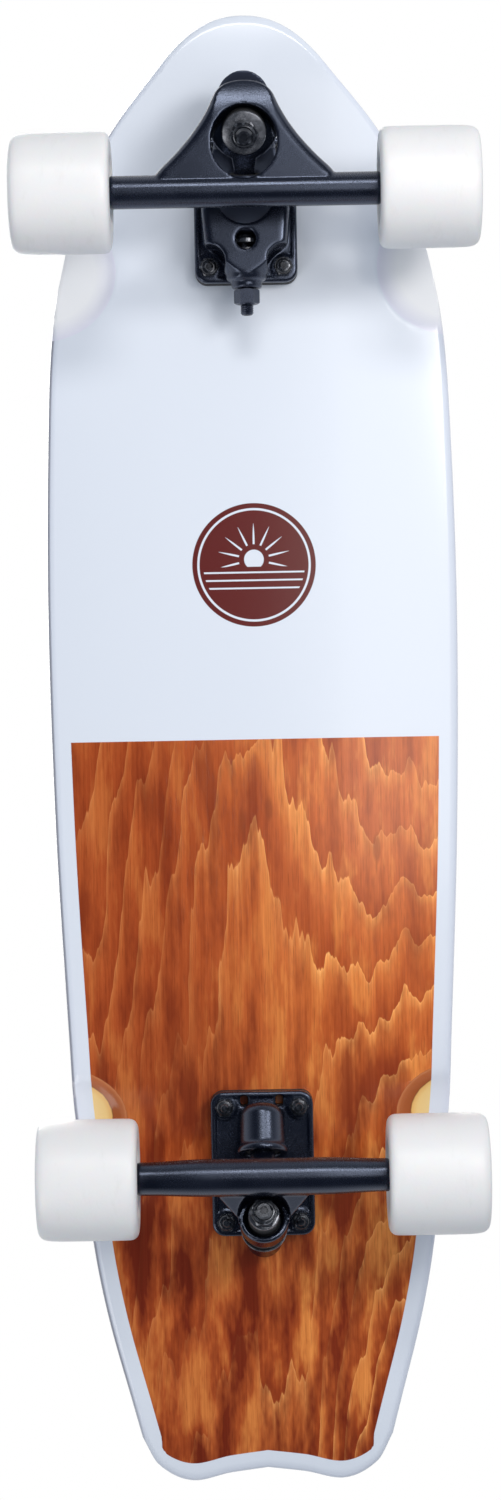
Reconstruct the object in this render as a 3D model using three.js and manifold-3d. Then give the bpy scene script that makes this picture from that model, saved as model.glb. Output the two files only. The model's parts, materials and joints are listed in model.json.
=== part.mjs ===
// Surf skateboard: a wide plywood deck on a front truck whose arm swivels against a spring,
// and a rear truck that only tilts.
// Millimetres. X is across the board, +Y points to the nose, +Z is up, and the four wheels
// stand on z = 0. Each truck is modelled under the deck, with z = 0 at the deck's underside
// and y = 0 at the middle of its baseplate.

import * as THREE from 'three';
import { mergeVertices } from 'three/addons/utils/BufferGeometryUtils.js';
import Module from 'manifold-3d';

const wasm = await Module();
wasm.setup();

// Fits
const seatGap = 0.3;          // between pieces that rest on each other
const runningGap = 0.3;       // round a shaft in its bore
const overrun = 2;            // how far a cutter passes the face that it cuts

// Deck
const deckLength = 825;
const deckWidth = 230;
const deckThickness = 11;
const railRound = 2.5;        // how far the rail's middle stands out past its corners
const concaveFlatHalf = 45;   // flat middle, half across
const concaveRise = 5;        // rise of the underside at the widest rail
const kickLength = 133;
const kickRise = 18;
const noseLiftLength = 60;
const noseLiftRise = 4;
const noseRoundLength = 29;
const noseRoundPower = 2.2;
const tailRoundLength = 26;
const outlineShares = [0, 0.049, 0.092, 0.139, 0.184, 0.243, 0.39, 0.556, 0.712, 0.76, 0.861, 0.913, 0.973, 1];
const halfWidthShares = [0.411, 0.66, 0.8, 0.888, 0.948, 0.978, 1, 0.981, 0.933, 0.914, 0.828, 0.762, 0.66, 0.615];
const tailAcrossShares = [0, 0.3, 0.62, 0.88, 1];
const tailDepthShares = [0.73, 0.84, 1, 0.62, 0];
const acrossShares = [-1, -0.9, -0.78, -0.62, -0.34, 0, 0.34, 0.62, 0.78, 0.9, 1];
const deckRows = 24;

// Grip tape
const gripThickness = 0.9;
const gripInset = 3;
const gripHoleRadius = 5.6;

// Wheel wells sanded into the underside
const frontWellBehindAxle = 32;
const frontWellHalfLength = 38;
const frontWellInnerX = 73;
const rearWellAheadOfAxle = 25.5;
const rearWellHalfLength = 27;
const rearWellInnerX = 78;
const wellHalfWidth = 40;
const wellDepth = 8;

// Where the trucks sit
const noseToFrontPlate = 113;
const tailToRearPlate = 183;
const axleDrop = 64;          // deck underside down to the axle

// Risers and baseplates
const plateLength = 80;
const plateWidth = 57;
const plateThickness = 6;
const plateCorner = 7;
const riserThickness = 6;
const boltSpacingX = 41.3;
const boltSpacingY = 63.5;
const boltHoleRadius = 2.75;

// Mounting bolts, each with its locknut
const boltRadius = 2.4;
const boltHeadRadius = 4.7;
const boltHeadHeight = 2.8;
const boltNutFlats = 9.5;
const boltNutHeight = 4.8;
const boltEnd = 1.4;

// Axles, nuts and bearings
const axleRadius = 4;
const axlePastWheel = 42;     // axle's end past the wheel's inner face
const barRadius = 8.9;
const barIntoWheel = 7;
const barStepIntoWheel = 1.5;
const barMiddleHalfLength = 29;
const rearBarMiddleRadius = 10.1;
const barEndRadius = 7.6;
const axleNutFlats = 13;
const axleNutHeight = 6;
const bearingRadius = 11;
const bearingWidth = 7;
const bearingRecess = 0.6;
const bearingLandWidth = 2.4;

// Wheels
const wheelDiameter = 65;
const wheelWidth = 54;
const frontWheelInnerX = 72;
const rearWheelInnerX = 67;
const wheelInnerRecess = 9;
const wheelCoreGap = 10;      // between the two bearings
const wheelCoreBore = 8.6;
const wheelLipInner = 3.4;
const wheelLipOuter = 6.5;
const wheelLipDrop = 3.5;
const wheelFaceRadius = 20;
const wheelHubRadius = 14.5;

// What the kingpins hold
const kingpinRadius = 4.75;
const kingpinHeadRadius = 7.5;
const kingpinHeadHeight = 4.5;
const kingpinEnd = 3;
const kingpinNutFlats = 14;
const kingpinNutHeight = 7;
const ringHalfThickness = 4;
const ringHoleRadius = 7.5;
const bushingHeight = 12;
const bushingRadius = 12.2;
const bushingEndRadius = 11.2;
const washerThickness = 1.5;
const washerRim = 0.9;
const washerRimWall = 1.1;
const frontWasherRadius = 12.7;
const bushingBarrel = 1;         // how far a bushing's middle stands out past its ring end
const rearRoadWasherRadius = 8.5;
const rearRoadBushingRadius = 10.1;
const rearRoadBushingEnd = 7;
const cupWall = 2.2;

// Front truck
const frontAxleY = 1.5;
const frontRingY = 39.2;
const frontRingZ = -51.1;
const frontLean = 25;         // degrees, nut towards the axle
const frontPivotY = 8;
const frontPivotZ = -42;
const frontPinRadius = 6;
const frontCupDepth = 12;
const frontCupReach = 5.5;    // cup's closed end past the pivot point
const frontBossWall = 1.9;
const frontSeatFloor = 7.3;   // kingpin seat to the floor of its head's pocket
const legHalfWidth = 49;
const legMidHalfWidth = 26;
const legNoseHalfWidth = 16.8;
const legNoseShoulder = 15.2;
const legNoseY = 60;
const legMidY = 30;
const legNoseRound = 10;
const legTopZ = -57.5;
const legBottomZ = -71.5;
const legNoseTopZ = -60;
const legNoseBottomZ = -66;
const frontRingRadius = 18.5;
const frontRingSkirt = 12;
const frontBushingBore = 12.9;
const cavityY = 27;
const cavityHalfWidth = 18;
const cavityHalfLength = 19.9;

// Swing arm
const swivelY = 4;
const armTopZ = -20.3;
const armBottomZ = -35.5;
const armHubRadius = 19.5;
const armCamFlat = 0.6;
const armNoseRadius = 13.5;
const armNoseY = 57;
const armNoseTopY = 45.5;
const swivelBoltRadius = 6;
const swivelHeadRadius = 10;
const swivelHeadHeight = 3;
const swivelBoltDepth = 12;   // how far the bolt reaches into the arm
const swivelBearingWall = 3.4;
const swivelBossDepth = 6;
const swivelBossRadius = 16;
const thrustWasherRadius = 15;

// Spring housing on the front baseplate
const housingHalfWidth = 25;
const housingFrontY = 9;
const housingWaistHalfWidth = 22.3;
const housingWaistY = -24.5;
const housingTailY = -46;
const housingBottomZ = -38.5;
const housingPocketClearance = 0.7;
const housingPocketFloor = 2.5;
const housingMouthRadius = 15.5;
const housingWallEndY = -2;   // the pocket's walls stop here, so that the arm can swing
const cutoutRadius = 9.3;
const springBoreRadius = 8;
const springAxisZ = -27;
const springTubeRadius = 10.5;
const springTubeEndRadius = 8.4;
const springTubeStepY = -41.5;
const windowRadius = 5.5;
const windowY = -20;

// Centring spring and what presses on it
const springWire = 2;
const springRadius = 5.6;
const springTurns = 5;
const springStartY = -21.3;
const springEndY = -38;
const stepsPerTurn = 8;
const plungerNoseRadius = 5;
const plungerRadius = 7.5;
const plungerFlange = 2;
const plungerGap = 0.3;
const adjusterRadius = 4.8;
const adjusterFlange = 2;
const adjusterEndRadius = 3.6;
const adjusterEndLength = 6;     // past the locknut
const locknutFlats = 13;
const locknutHeight = 8;

// Rear truck
const rearAxleY = 0;
const rearRingY = -28;
const rearRingZ = -41;
const rearLean = 22;          // degrees, nut towards the axle
const rearPivotY = 20;
const rearPivotZ = -22;
const rearPinRadius = 6.8;
const rearCupDepth = 13.5;
const rearCupReach = 1.5;
const rearSeatFloor = 10.1;
const rearBossRadius = 10.4;
const rearPivotHousingRadius = 12.5;
const rearPivotLip = 1.5;
const rearPivotLipLength = 3;
const rearPivotHousingLength = 28;
const rearRingRadius = 13.4;
const rearSkirt = 10;
const rearSkirtBore = 10.6;
const rearNutClearRadius = 8.9;
const rearNutSwing = 5.2;      // how far the nut moves to each side in the tilting hanger
const webHalfWidth = 29;
const webTailHalfWidth = 14;
const webTopZ = -43;
const webBottomZ = -68;
const webRibHalf = 5;
const rearWindowX = 9.8;
const rearWindowY = 35;
const rearWindowWidth = 4.2;
const rearWindowLength = 6;

// Round steps
const boltSteps = 8;
const coarseSteps = 12;
const roundSteps = 16;
const wheelSteps = 22;
const cornerSteps = 4;

const mergeTolerance = 1e-4;
const half = 0.5;
const axleZ = wheelDiameter * half;
const underZ = axleZ + axleDrop;
const frontPlateY = deckLength * half - noseToFrontPlate;
const rearPlateY = tailToRearPlate - deckLength * half;
const frontWellY = frontPlateY + frontAxleY - frontWellBehindAxle;
const rearWellY = rearPlateY + rearAxleY + rearWellAheadOfAxle;
const plateTopZ = -(riserThickness + seatGap + seatGap);
const plateBottomZ = plateTopZ - plateThickness;

// Solids

function volumeOf(positions, indices) {
  const a = new THREE.Vector3();
  const b = new THREE.Vector3();
  const c = new THREE.Vector3();
  let sum = 0;
  for (let i = 0; i < indices.length; i += 3) {
    a.fromArray(positions, indices[i] * 3);
    b.fromArray(positions, indices[i + 1] * 3);
    c.fromArray(positions, indices[i + 2] * 3);
    sum += a.dot(b.cross(c));
  }
  return sum;
}

// A closed geometry becomes a solid, with its faces turned outwards.
function solid(geometry) {
  const bare = new THREE.BufferGeometry();
  const plain = geometry.index ? geometry.toNonIndexed() : geometry;
  bare.setAttribute('position', plain.getAttribute('position').clone());
  const merged = mergeVertices(bare, mergeTolerance);
  const positions = merged.getAttribute('position').array;
  const kept = [];
  for (let i = 0; i < merged.index.count; i += 3) {
    const [a, b, c] = [0, 1, 2].map((k) => merged.index.getX(i + k));
    if (a !== b && b !== c && c !== a) kept.push(a, b, c);
  }
  if (volumeOf(positions, kept) < 0) kept.reverse();
  const mesh = new wasm.Mesh({
    numProp: 3,
    vertProperties: new Float32Array(positions),
    triVerts: new Uint32Array(kept),
  });
  mesh.merge();
  return new wasm.Manifold(mesh);
}

function geometryOf(body) {
  const mesh = body.getMesh();
  const geometry = new THREE.BufferGeometry();
  const positions = new Float32Array(mesh.numVert * 3);
  for (let i = 0; i < mesh.numVert; i += 1) {
    for (let k = 0; k < 3; k += 1) positions[i * 3 + k] = mesh.vertProperties[i * mesh.numProp + k];
  }
  geometry.setAttribute('position', new THREE.BufferAttribute(positions, 3));
  geometry.setIndex(new THREE.BufferAttribute(new Uint32Array(mesh.triVerts), 1));
  geometry.computeVertexNormals();
  return geometry;
}

function cut(body, ...cutters) {
  return cutters.reduce((left, cutter) => left.subtract(cutter), body);
}

function join(body, ...others) {
  return others.reduce((sum, other) => sum.add(other), body);
}

// A profile of [radius, height] points, turned about the line from a point along a direction.
function turned(profile, origin, direction, steps = roundSteps) {
  const points = profile.map(([radius, height]) => new THREE.Vector2(radius, height));
  const last = points[points.length - 1];
  if (points[0].x !== 0 || last.x !== 0) points.push(points[0].clone());
  const geometry = new THREE.LatheGeometry(points, steps);
  const up = new THREE.Vector3(0, 1, 0);
  geometry.applyQuaternion(new THREE.Quaternion().setFromUnitVectors(up, direction));
  geometry.translate(origin.x, origin.y, origin.z);
  return solid(geometry);
}

function rod(radius, start, end, origin, direction, steps = roundSteps) {
  return turned([[0, start], [radius, start], [radius, end], [0, end]], origin, direction, steps);
}

function tube(bore, radius, start, end, origin, direction, steps = roundSteps) {
  const profile = [[bore, start], [radius, start], [radius, end], [bore, end]];
  return turned(profile, origin, direction, steps);
}

// An outline in the plane across a direction, raised from one height to another along it.
function raised(shape, start, end, origin, direction, curveSegments = coarseSteps) {
  const geometry = new THREE.ExtrudeGeometry(shape, {
    depth: end - start,
    bevelEnabled: false,
    curveSegments,
  });
  geometry.translate(0, 0, start);
  const across = new THREE.Vector3(1, 0, 0);
  if (Math.abs(direction.x) > half) across.set(0, 1, 0);
  const along = new THREE.Vector3().crossVectors(direction, across);
  geometry.applyMatrix4(new THREE.Matrix4().makeBasis(across, along, direction));
  geometry.translate(origin.x, origin.y, origin.z);
  return solid(geometry);
}

// An outline drawn from the side, as [y, z] points, drawn out across the board.
function sideBlock(points, halfWidth) {
  const shape = new THREE.Shape(points.map(([y, z]) => new THREE.Vector2(y, z)));
  const geometry = new THREE.ExtrudeGeometry(shape, { depth: halfWidth * 2, bevelEnabled: false });
  geometry.translate(0, 0, -halfWidth);
  const toY = new THREE.Vector3(0, 1, 0);
  const toZ = new THREE.Vector3(0, 0, 1);
  const toX = new THREE.Vector3(1, 0, 0);
  geometry.applyMatrix4(new THREE.Matrix4().makeBasis(toY, toZ, toX));
  return solid(geometry);
}

function roundedRectangle(width, length, radius) {
  const x = width * half - radius;
  const y = length * half - radius;
  const shape = new THREE.Shape();
  shape.absarc(x, y, radius, 0, Math.PI * half, false);
  shape.absarc(-x, y, radius, Math.PI * half, Math.PI, false);
  shape.absarc(-x, -y, radius, Math.PI, Math.PI * (1 + half), false);
  shape.absarc(x, -y, radius, Math.PI * (1 + half), Math.PI * 2, false);
  shape.closePath();
  return shape;
}

function hexagon(flats) {
  const corner = flats * half / Math.cos(Math.PI / 6);
  const shape = new THREE.Shape();
  for (let i = 0; i < 6; i += 1) {
    const angle = i * Math.PI / 3;
    const method = i === 0 ? 'moveTo' : 'lineTo';
    shape[method](corner * Math.cos(angle), corner * Math.sin(angle));
  }
  shape.closePath();
  return shape;
}

function oval(halfWidth, halfLength, y) {
  const shape = new THREE.Shape();
  shape.absellipse(0, y, halfWidth, halfLength, 0, Math.PI * 2, false, 0);
  return shape;
}

// Two circles on the centre line and the straight tangents between them.
function linkShape(tailY, tailRadius, noseY, noseRadius) {
  const angle = Math.asin((tailRadius - noseRadius) / (noseY - tailY));
  const shape = new THREE.Shape();
  shape.absarc(0, noseY, noseRadius, angle, Math.PI - angle, false);
  shape.absarc(0, tailY, tailRadius, Math.PI - angle, Math.PI * 2 + angle, false);
  shape.closePath();
  return shape;
}

function box(width, length, height, x, y, z) {
  const geometry = new THREE.BoxGeometry(width, length, height);
  geometry.translate(x, y, z);
  return solid(geometry);
}

const down = new THREE.Vector3(0, 0, -1);
const upward = new THREE.Vector3(0, 0, 1);
const tailward = new THREE.Vector3(0, -1, 0);
const rightward = new THREE.Vector3(1, 0, 0);
const centre = new THREE.Vector3(0, 0, 0);

// Materials

function finish(colour, roughness, metalness) {
  return new THREE.MeshStandardMaterial({ color: colour, roughness, metalness });
}

const materials = {
  deck: () => finish(0xb5602c, 0.35, 0),
  grip: () => finish(0x1c1c1e, 0.95, 0),
  riser: () => finish(0x17181a, 0.8, 0),
  casting: () => finish(0x26272c, 0.45, 0.6),
  steel: () => finish(0x8d9095, 0.3, 1),
  blackSteel: () => finish(0x2c2d31, 0.35, 0.9),
  urethane: () => finish(0xeeeef2, 0.4, 0),
  bushing: () => finish(0x2a2b2f, 0.55, 0),
  cup: () => finish(0x1a1a1c, 0.7, 0),
};

const group = new THREE.Group();

function addPiece(parent, name, body, material) {
  const mesh = new THREE.Mesh(geometryOf(body), material());
  mesh.name = name;
  parent.add(mesh);
  return mesh;
}

// Deck

// Cubic interpolation through a table, with the slope at each point from its neighbours.
function smoothTable(places, values, at) {
  const last = places.length - 1;
  const slopes = places.map((place, i) => {
    const before = Math.max(i - 1, 0);
    const after = Math.min(i + 1, last);
    return (values[after] - values[before]) / (places[after] - places[before]);
  });
  let i = 0;
  while (i < last - 1 && at > places[i + 1]) i += 1;
  const span = places[i + 1] - places[i];
  const t = (at - places[i]) / span;
  const t2 = t * t;
  const t3 = t2 * t;
  return (2 * t3 - 3 * t2 + 1) * values[i] + (t3 - 2 * t2 + t) * span * slopes[i]
    + (3 * t2 - 2 * t3) * values[i + 1] + (t3 - t2) * span * slopes[i + 1];
}

function halfWidthAt(share) {
  return smoothTable(outlineShares, halfWidthShares, share) * deckWidth * half;
}

function riseAt(x, fromNose) {
  const side = Math.max(Math.abs(x) - concaveFlatHalf, 0) / (deckWidth * half - concaveFlatHalf);
  const kick = Math.max(fromNose - (deckLength - kickLength), 0) / kickLength;
  const nose = Math.max(noseLiftLength - fromNose, 0) / noseLiftLength;
  return concaveRise * side ** 2 + kickRise * kick ** 2 + noseLiftRise * nose ** 2;
}

// The place of a share along and a share across the board, drawn in from the outline.
function boardPoint(along, across, inset) {
  const fromNose = noseRoundLength + along * (deckLength - noseRoundLength - tailRoundLength);
  const x = across * (halfWidthAt(along) - inset);
  const noseEnd = (1 - along) ** 3;
  const tailEnd = along ** 3;
  const noseBow = noseRoundLength * (Math.abs(across) ** noseRoundPower - 1) + inset;
  const tailBow = tailRoundLength * smoothTable(tailAcrossShares, tailDepthShares, Math.abs(across)) - inset;
  return [x, fromNose + noseBow * noseEnd + tailBow * tailEnd];
}

// A sheet that follows the board, from one height over its underside to another.
function boardSheet(inset, bottom, top, bulge) {
  const columns = acrossShares.length;
  const points = [];
  const faces = [];
  const layer = (height, drawnIn) => {
    const first = points.length;
    for (let row = 0; row <= deckRows; row += 1) {
      for (const across of acrossShares) {
        const [x, fromNose] = boardPoint(row / deckRows, across, drawnIn);
        points.push([x, deckLength * half - fromNose, underZ + height + riseAt(x, fromNose)]);
      }
    }
    return first;
  };
  const lower = layer(bottom, inset);
  const upper = layer(top, inset);
  const middle = layer((bottom + top) * half, inset - bulge);
  const quad = (a, b, c, d) => faces.push(a, b, c, a, c, d);
  for (let row = 0; row < deckRows; row += 1) {
    for (let column = 0; column + 1 < columns; column += 1) {
      const a = row * columns + column;
      quad(upper + a, upper + a + columns, upper + a + columns + 1, upper + a + 1);
      quad(lower + a, lower + a + 1, lower + a + columns + 1, lower + a + columns);
    }
  }
  const rim = [];
  for (let column = 0; column + 1 < columns; column += 1) rim.push(column);
  for (let row = 0; row < deckRows; row += 1) rim.push((row + 1) * columns - 1);
  for (let column = columns - 1; column > 0; column -= 1) rim.push(deckRows * columns + column);
  for (let row = deckRows; row > 0; row -= 1) rim.push(row * columns);
  rim.forEach((a, i) => {
    const b = rim[(i + 1) % rim.length];
    quad(lower + a, middle + a, middle + b, lower + b);
    quad(middle + a, upper + a, upper + b, middle + b);
  });
  const used = new THREE.BufferGeometry();
  used.setAttribute('position', new THREE.Float32BufferAttribute(points.flat(), 3));
  used.setIndex(faces);
  return solid(used);
}

function boltPlaces(plateY) {
  const places = [];
  for (const x of [-boltSpacingX * half, boltSpacingX * half]) {
    for (const y of [-boltSpacingY * half, boltSpacingY * half]) {
      places.push(new THREE.Vector3(x, plateY + y, 0));
    }
  }
  return places;
}

function wellCutter(side, y, innerX, halfLength) {
  const geometry = new THREE.SphereGeometry(1, coarseSteps, coarseSteps);
  geometry.scale(wellHalfWidth, halfLength, wellDepth);
  geometry.translate(side * (innerX + wellHalfWidth), y, underZ);
  return solid(geometry);
}

const deckBolts = [...boltPlaces(frontPlateY), ...boltPlaces(rearPlateY)];

function makeDeck() {
  let deck = boardSheet(railRound, 0, deckThickness, railRound);
  const headSink = boltHeadHeight + seatGap;
  const seatTop = underZ + deckThickness;
  for (const place of deckBolts) {
    const countersink = [
      [0, underZ - overrun],
      [boltHoleRadius, underZ - overrun],
      [boltHoleRadius, seatTop - headSink],
      [boltHeadRadius + seatGap, seatTop],
      [boltHeadRadius + seatGap, seatTop + overrun],
      [0, seatTop + overrun],
    ];
    deck = cut(deck, turned(countersink, place, upward, boltSteps));
  }
  for (const side of [-1, 1]) {
    deck = cut(
      deck,
      wellCutter(side, frontWellY, frontWellInnerX, frontWellHalfLength),
      wellCutter(side, rearWellY, rearWellInnerX, rearWellHalfLength),
    );
  }
  return deck;
}

function makeGripTape() {
  const bottom = deckThickness + seatGap;
  let tape = boardSheet(gripInset, bottom, bottom + gripThickness, 0);
  for (const place of deckBolts) {
    const start = underZ + deckThickness - overrun;
    const end = underZ + bottom + gripThickness + overrun;
    tape = cut(tape, rod(gripHoleRadius, start, end, place, upward, boltSteps));
  }
  return tape;
}

function makeMountingBolt(place) {
  const headTop = deckThickness - seatGap;
  const headBase = headTop - boltHeadHeight;
  const nutTop = plateBottomZ - seatGap;
  const end = nutTop - boltNutHeight - boltEnd;
  const shank = turned([
    [0, end],
    [boltRadius, end],
    [boltRadius, headBase],
    [boltHeadRadius, headTop],
    [0, headTop],
  ], place, upward, boltSteps);
  return join(shank, raised(hexagon(boltNutFlats), nutTop - boltNutHeight, nutTop, place, upward));
}

// What each truck has

function plateBlank(top, thickness) {
  const shape = roundedRectangle(plateWidth, plateLength, plateCorner);
  return raised(shape, top - thickness, top, centre, upward, cornerSteps);
}

function drillBoltHoles(body, top, bottom) {
  const drills = boltPlaces(0).map((place) => (
    rod(boltHoleRadius, bottom - overrun, top + overrun, place, upward, boltSteps)));
  return cut(body, ...drills);
}

function makeRiser() {
  const top = -seatGap;
  return drillBoltHoles(plateBlank(top, riserThickness), top, top - riserThickness);
}

// The two openings beside the rear pivot housing, through which the deck shows.
function rearWindows(top, bottom) {
  const height = top - bottom + overrun * 2;
  return [-1, 1].map((side) => (
    box(rearWindowWidth, rearWindowLength, height, side * rearWindowX, rearWindowY, (top + bottom) * half)));
}

// The kingpin's line and the pieces stacked on it. Distances run down the kingpin from the
// middle of the hanger's ring.
function makeStack(truck) {
  const lean = THREE.MathUtils.degToRad(truck.lean);
  const axis = new THREE.Vector3(0, truck.leanSide * Math.sin(lean), -Math.cos(lean));
  const ring = new THREE.Vector3(0, truck.ringY, truck.ringZ);
  const pivot = new THREE.Vector3(0, truck.pivotY, truck.pivotZ);
  const steer = pivot.clone().sub(ring);
  const pivotDistance = steer.length();
  steer.normalize();
  const bushingEnd = ringHalfThickness + seatGap + bushingHeight;
  const washerStart = bushingEnd + seatGap;
  const seat = washerStart + washerThickness + seatGap;
  const nutEnd = seat + kingpinNutHeight;
  // Across the kingpin, towards the pivot
  const inPlane = new THREE.Vector3(0, axis.z, -axis.y).multiplyScalar(truck.leanSide < 0 ? 1 : -1);
  return { axis, ring, pivot, steer, pivotDistance, bushingEnd, washerStart, seat, nutEnd, inPlane };
}

function pointOn(stack, distance, offset) {
  const place = stack.ring.clone();
  place.addScaledVector(stack.axis, distance).addScaledVector(stack.inPlane, offset);
  return [place.y, place.z];
}

function addKingpinPieces(parent, prefix, truck, stack) {
  const { axis, ring } = stack;
  const boreRadius = kingpinRadius + runningGap;
  const up = axis.clone().negate();
  const headBase = stack.seat + truck.seatFloor + seatGap;
  const pin = turned([
    [0, -stack.nutEnd - kingpinEnd],
    [kingpinRadius - seatGap, -stack.nutEnd - kingpinEnd],
    [kingpinRadius, -stack.nutEnd],
    [kingpinRadius, headBase],
    [kingpinHeadRadius, headBase],
    [kingpinHeadRadius, headBase + kingpinHeadHeight],
    [0, headBase + kingpinHeadHeight],
  ], ring, up, coarseSteps);
  addPiece(parent, `${prefix}_kingpin`, pin, materials.blackSteel);

  const nut = raised(hexagon(kingpinNutFlats), stack.seat, stack.nutEnd, ring, axis);
  const nutBore = rod(boreRadius, stack.seat - overrun, stack.nutEnd + overrun, ring, axis, coarseSteps);
  addPiece(parent, `${prefix}_kingpin_nut`, cut(nut, nutBore), materials.blackSteel);

  const sides = [
    { name: 'board', direction: up, radius: bushingRadius, end: bushingEndRadius, rim: frontWasherRadius },
    {
      name: 'road',
      direction: axis,
      radius: truck.roadBushingRadius,
      end: truck.roadBushingEnd,
      rim: truck.roadWasherRadius,
    },
  ];
  for (const { name, direction, radius, end, rim } of sides) {
    const start = ringHalfThickness + seatGap;
    const middle = (start + stack.bushingEnd) * half;
    const bushing = turned([
      [boreRadius, start],
      [radius - bushingBarrel, start],
      [(radius + end) * half, middle],
      [end, stack.bushingEnd],
      [boreRadius, stack.bushingEnd],
    ], ring, direction, roundSteps);
    addPiece(parent, `${prefix}_bushing_${name}`, bushing, materials.bushing);
    const washerTop = stack.washerStart + washerThickness;
    const washer = turned([
      [boreRadius, stack.washerStart],
      [rim - washerRimWall, stack.washerStart],
      [rim - washerRimWall, stack.washerStart - washerRim],
      [rim, stack.washerStart - washerRim],
      [rim, washerTop - washerRim],
      [rim - washerRim, washerTop],
      [boreRadius, washerTop],
    ], ring, direction, roundSteps);
    addPiece(parent, `${prefix}_washer_${name}`, washer, materials.steel);
  }
}

function addPivotCup(parent, prefix, truck, stack) {
  const bore = truck.pinRadius + runningGap;
  const closed = stack.pivotDistance + truck.cupReach;
  const mouth = closed - truck.cupDepth;
  const cup = turned([
    [bore, mouth],
    [bore + cupWall, mouth],
    [bore + cupWall, closed],
    [0, closed],
    [0, closed - cupWall],
    [bore, closed - cupWall],
  ], stack.ring, stack.steer, coarseSteps);
  addPiece(parent, `${prefix}_pivot_cup`, cup, materials.cup);
}

function cupSocket(truck, stack) {
  const closed = stack.pivotDistance + truck.cupReach;
  const radius = truck.pinRadius + runningGap + cupWall + seatGap;
  return rod(radius, closed - truck.cupDepth - overrun, closed + seatGap, stack.ring, stack.steer);
}

// The pin that runs from the hanger's ring into the pivot cup, with a rounded end.
function pivotPin(truck, stack, rootRadius) {
  const tip = stack.pivotDistance + truck.cupReach - cupWall - seatGap;
  const radius = truck.pinRadius;
  const rootStart = bushingRadius + washerRim;
  const neck = tip - truck.cupDepth;
  const profile = [[0, rootStart], [rootRadius, rootStart], [radius, neck], [radius, tip - radius * half]];
  profile.push([radius * Math.cos(Math.PI / 6), tip - radius * half * half]);
  profile.push([radius * half, tip], [0, tip]);
  return turned(profile, stack.ring, stack.steer, coarseSteps);
}

function axleBar(truck) {
  const place = new THREE.Vector3(0, truck.axleY, -axleDrop);
  const barHalfLength = truck.wheelInnerX + barIntoWheel;
  const barStepHalfLength = truck.wheelInnerX + barStepIntoWheel;
  const side = (sign) => [
    [barEndRadius, sign * barHalfLength],
    [barEndRadius, sign * barStepHalfLength],
    [barRadius, sign * (barStepHalfLength - (barRadius - barEndRadius))],
    [truck.barMiddleRadius, sign * barMiddleHalfLength],
  ];
  const profile = [[0, -barHalfLength], ...side(-1), ...side(1).reverse(), [0, barHalfLength]];
  return turned(profile, place, rightward);
}

function axleBore(truck) {
  const place = new THREE.Vector3(0, truck.axleY, -axleDrop);
  const reach = truck.wheelInnerX + barIntoWheel + overrun;
  return rod(axleRadius + runningGap, -reach, reach, place, rightward, coarseSteps);
}

function addAxle(parent, prefix, truck) {
  const place = new THREE.Vector3(0, truck.axleY, -axleDrop);
  const axleHalfLength = truck.wheelInnerX + axlePastWheel;
  const chamfer = axleRadius * half * half;
  const axle = turned([
    [0, -axleHalfLength],
    [axleRadius - chamfer, -axleHalfLength],
    [axleRadius, -axleHalfLength + chamfer],
    [axleRadius, axleHalfLength - chamfer],
    [axleRadius - chamfer, axleHalfLength],
    [0, axleHalfLength],
  ], place, rightward, coarseSteps);
  addPiece(parent, `${prefix}_axle`, axle, materials.steel);
}

// Wheels, in their own frame: along +Y from the inner face

function makeWheel() {
  const tread = wheelDiameter * half;
  const seat = bearingRadius + seatGap;
  const firstEnd = wheelInnerRecess + bearingWidth + seatGap;
  const secondStart = firstEnd + wheelCoreGap - seatGap * 2;
  const secondEnd = secondStart + bearingWidth + seatGap;
  const lipRadius = tread - wheelLipDrop;
  const soften = wheelLipDrop * (1 - Math.SQRT1_2);
  const profile = [
    [seat, wheelInnerRecess],
    [wheelHubRadius, wheelInnerRecess - seatGap],
    [wheelFaceRadius - seatGap, wheelInnerRecess * half * half],
    [wheelFaceRadius, 0],
    [lipRadius, 0],
    [tread - soften, wheelLipInner * half * half],
    [tread, wheelLipInner],
    [tread, wheelWidth - wheelLipOuter],
    [tread - soften * half, wheelWidth - wheelLipOuter * half],
    [tread - soften * 2, wheelWidth - wheelLipOuter * half * half * half],
    [lipRadius - soften, wheelWidth],
    [wheelFaceRadius, wheelWidth],
    [wheelHubRadius, secondEnd + seatGap],
    [seat, secondEnd],
    [seat, secondStart],
    [wheelCoreBore, secondStart],
    [wheelCoreBore, firstEnd],
    [seat, firstEnd],
  ];
  return turned(profile, centre, new THREE.Vector3(0, 1, 0), wheelSteps);
}

function makeBearing() {
  const bore = axleRadius + runningGap;
  const profile = [
    [bore, 0],
    [bearingRadius, 0],
    [bearingRadius, bearingWidth],
    [bearingRadius - bearingLandWidth, bearingWidth],
    [bearingRadius - bearingLandWidth, bearingWidth - bearingRecess],
    [bore + bearingLandWidth, bearingWidth - bearingRecess],
    [bore + bearingLandWidth, bearingWidth],
    [bore, bearingWidth],
  ];
  return turned(profile, centre, new THREE.Vector3(0, 1, 0), coarseSteps);
}

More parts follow.
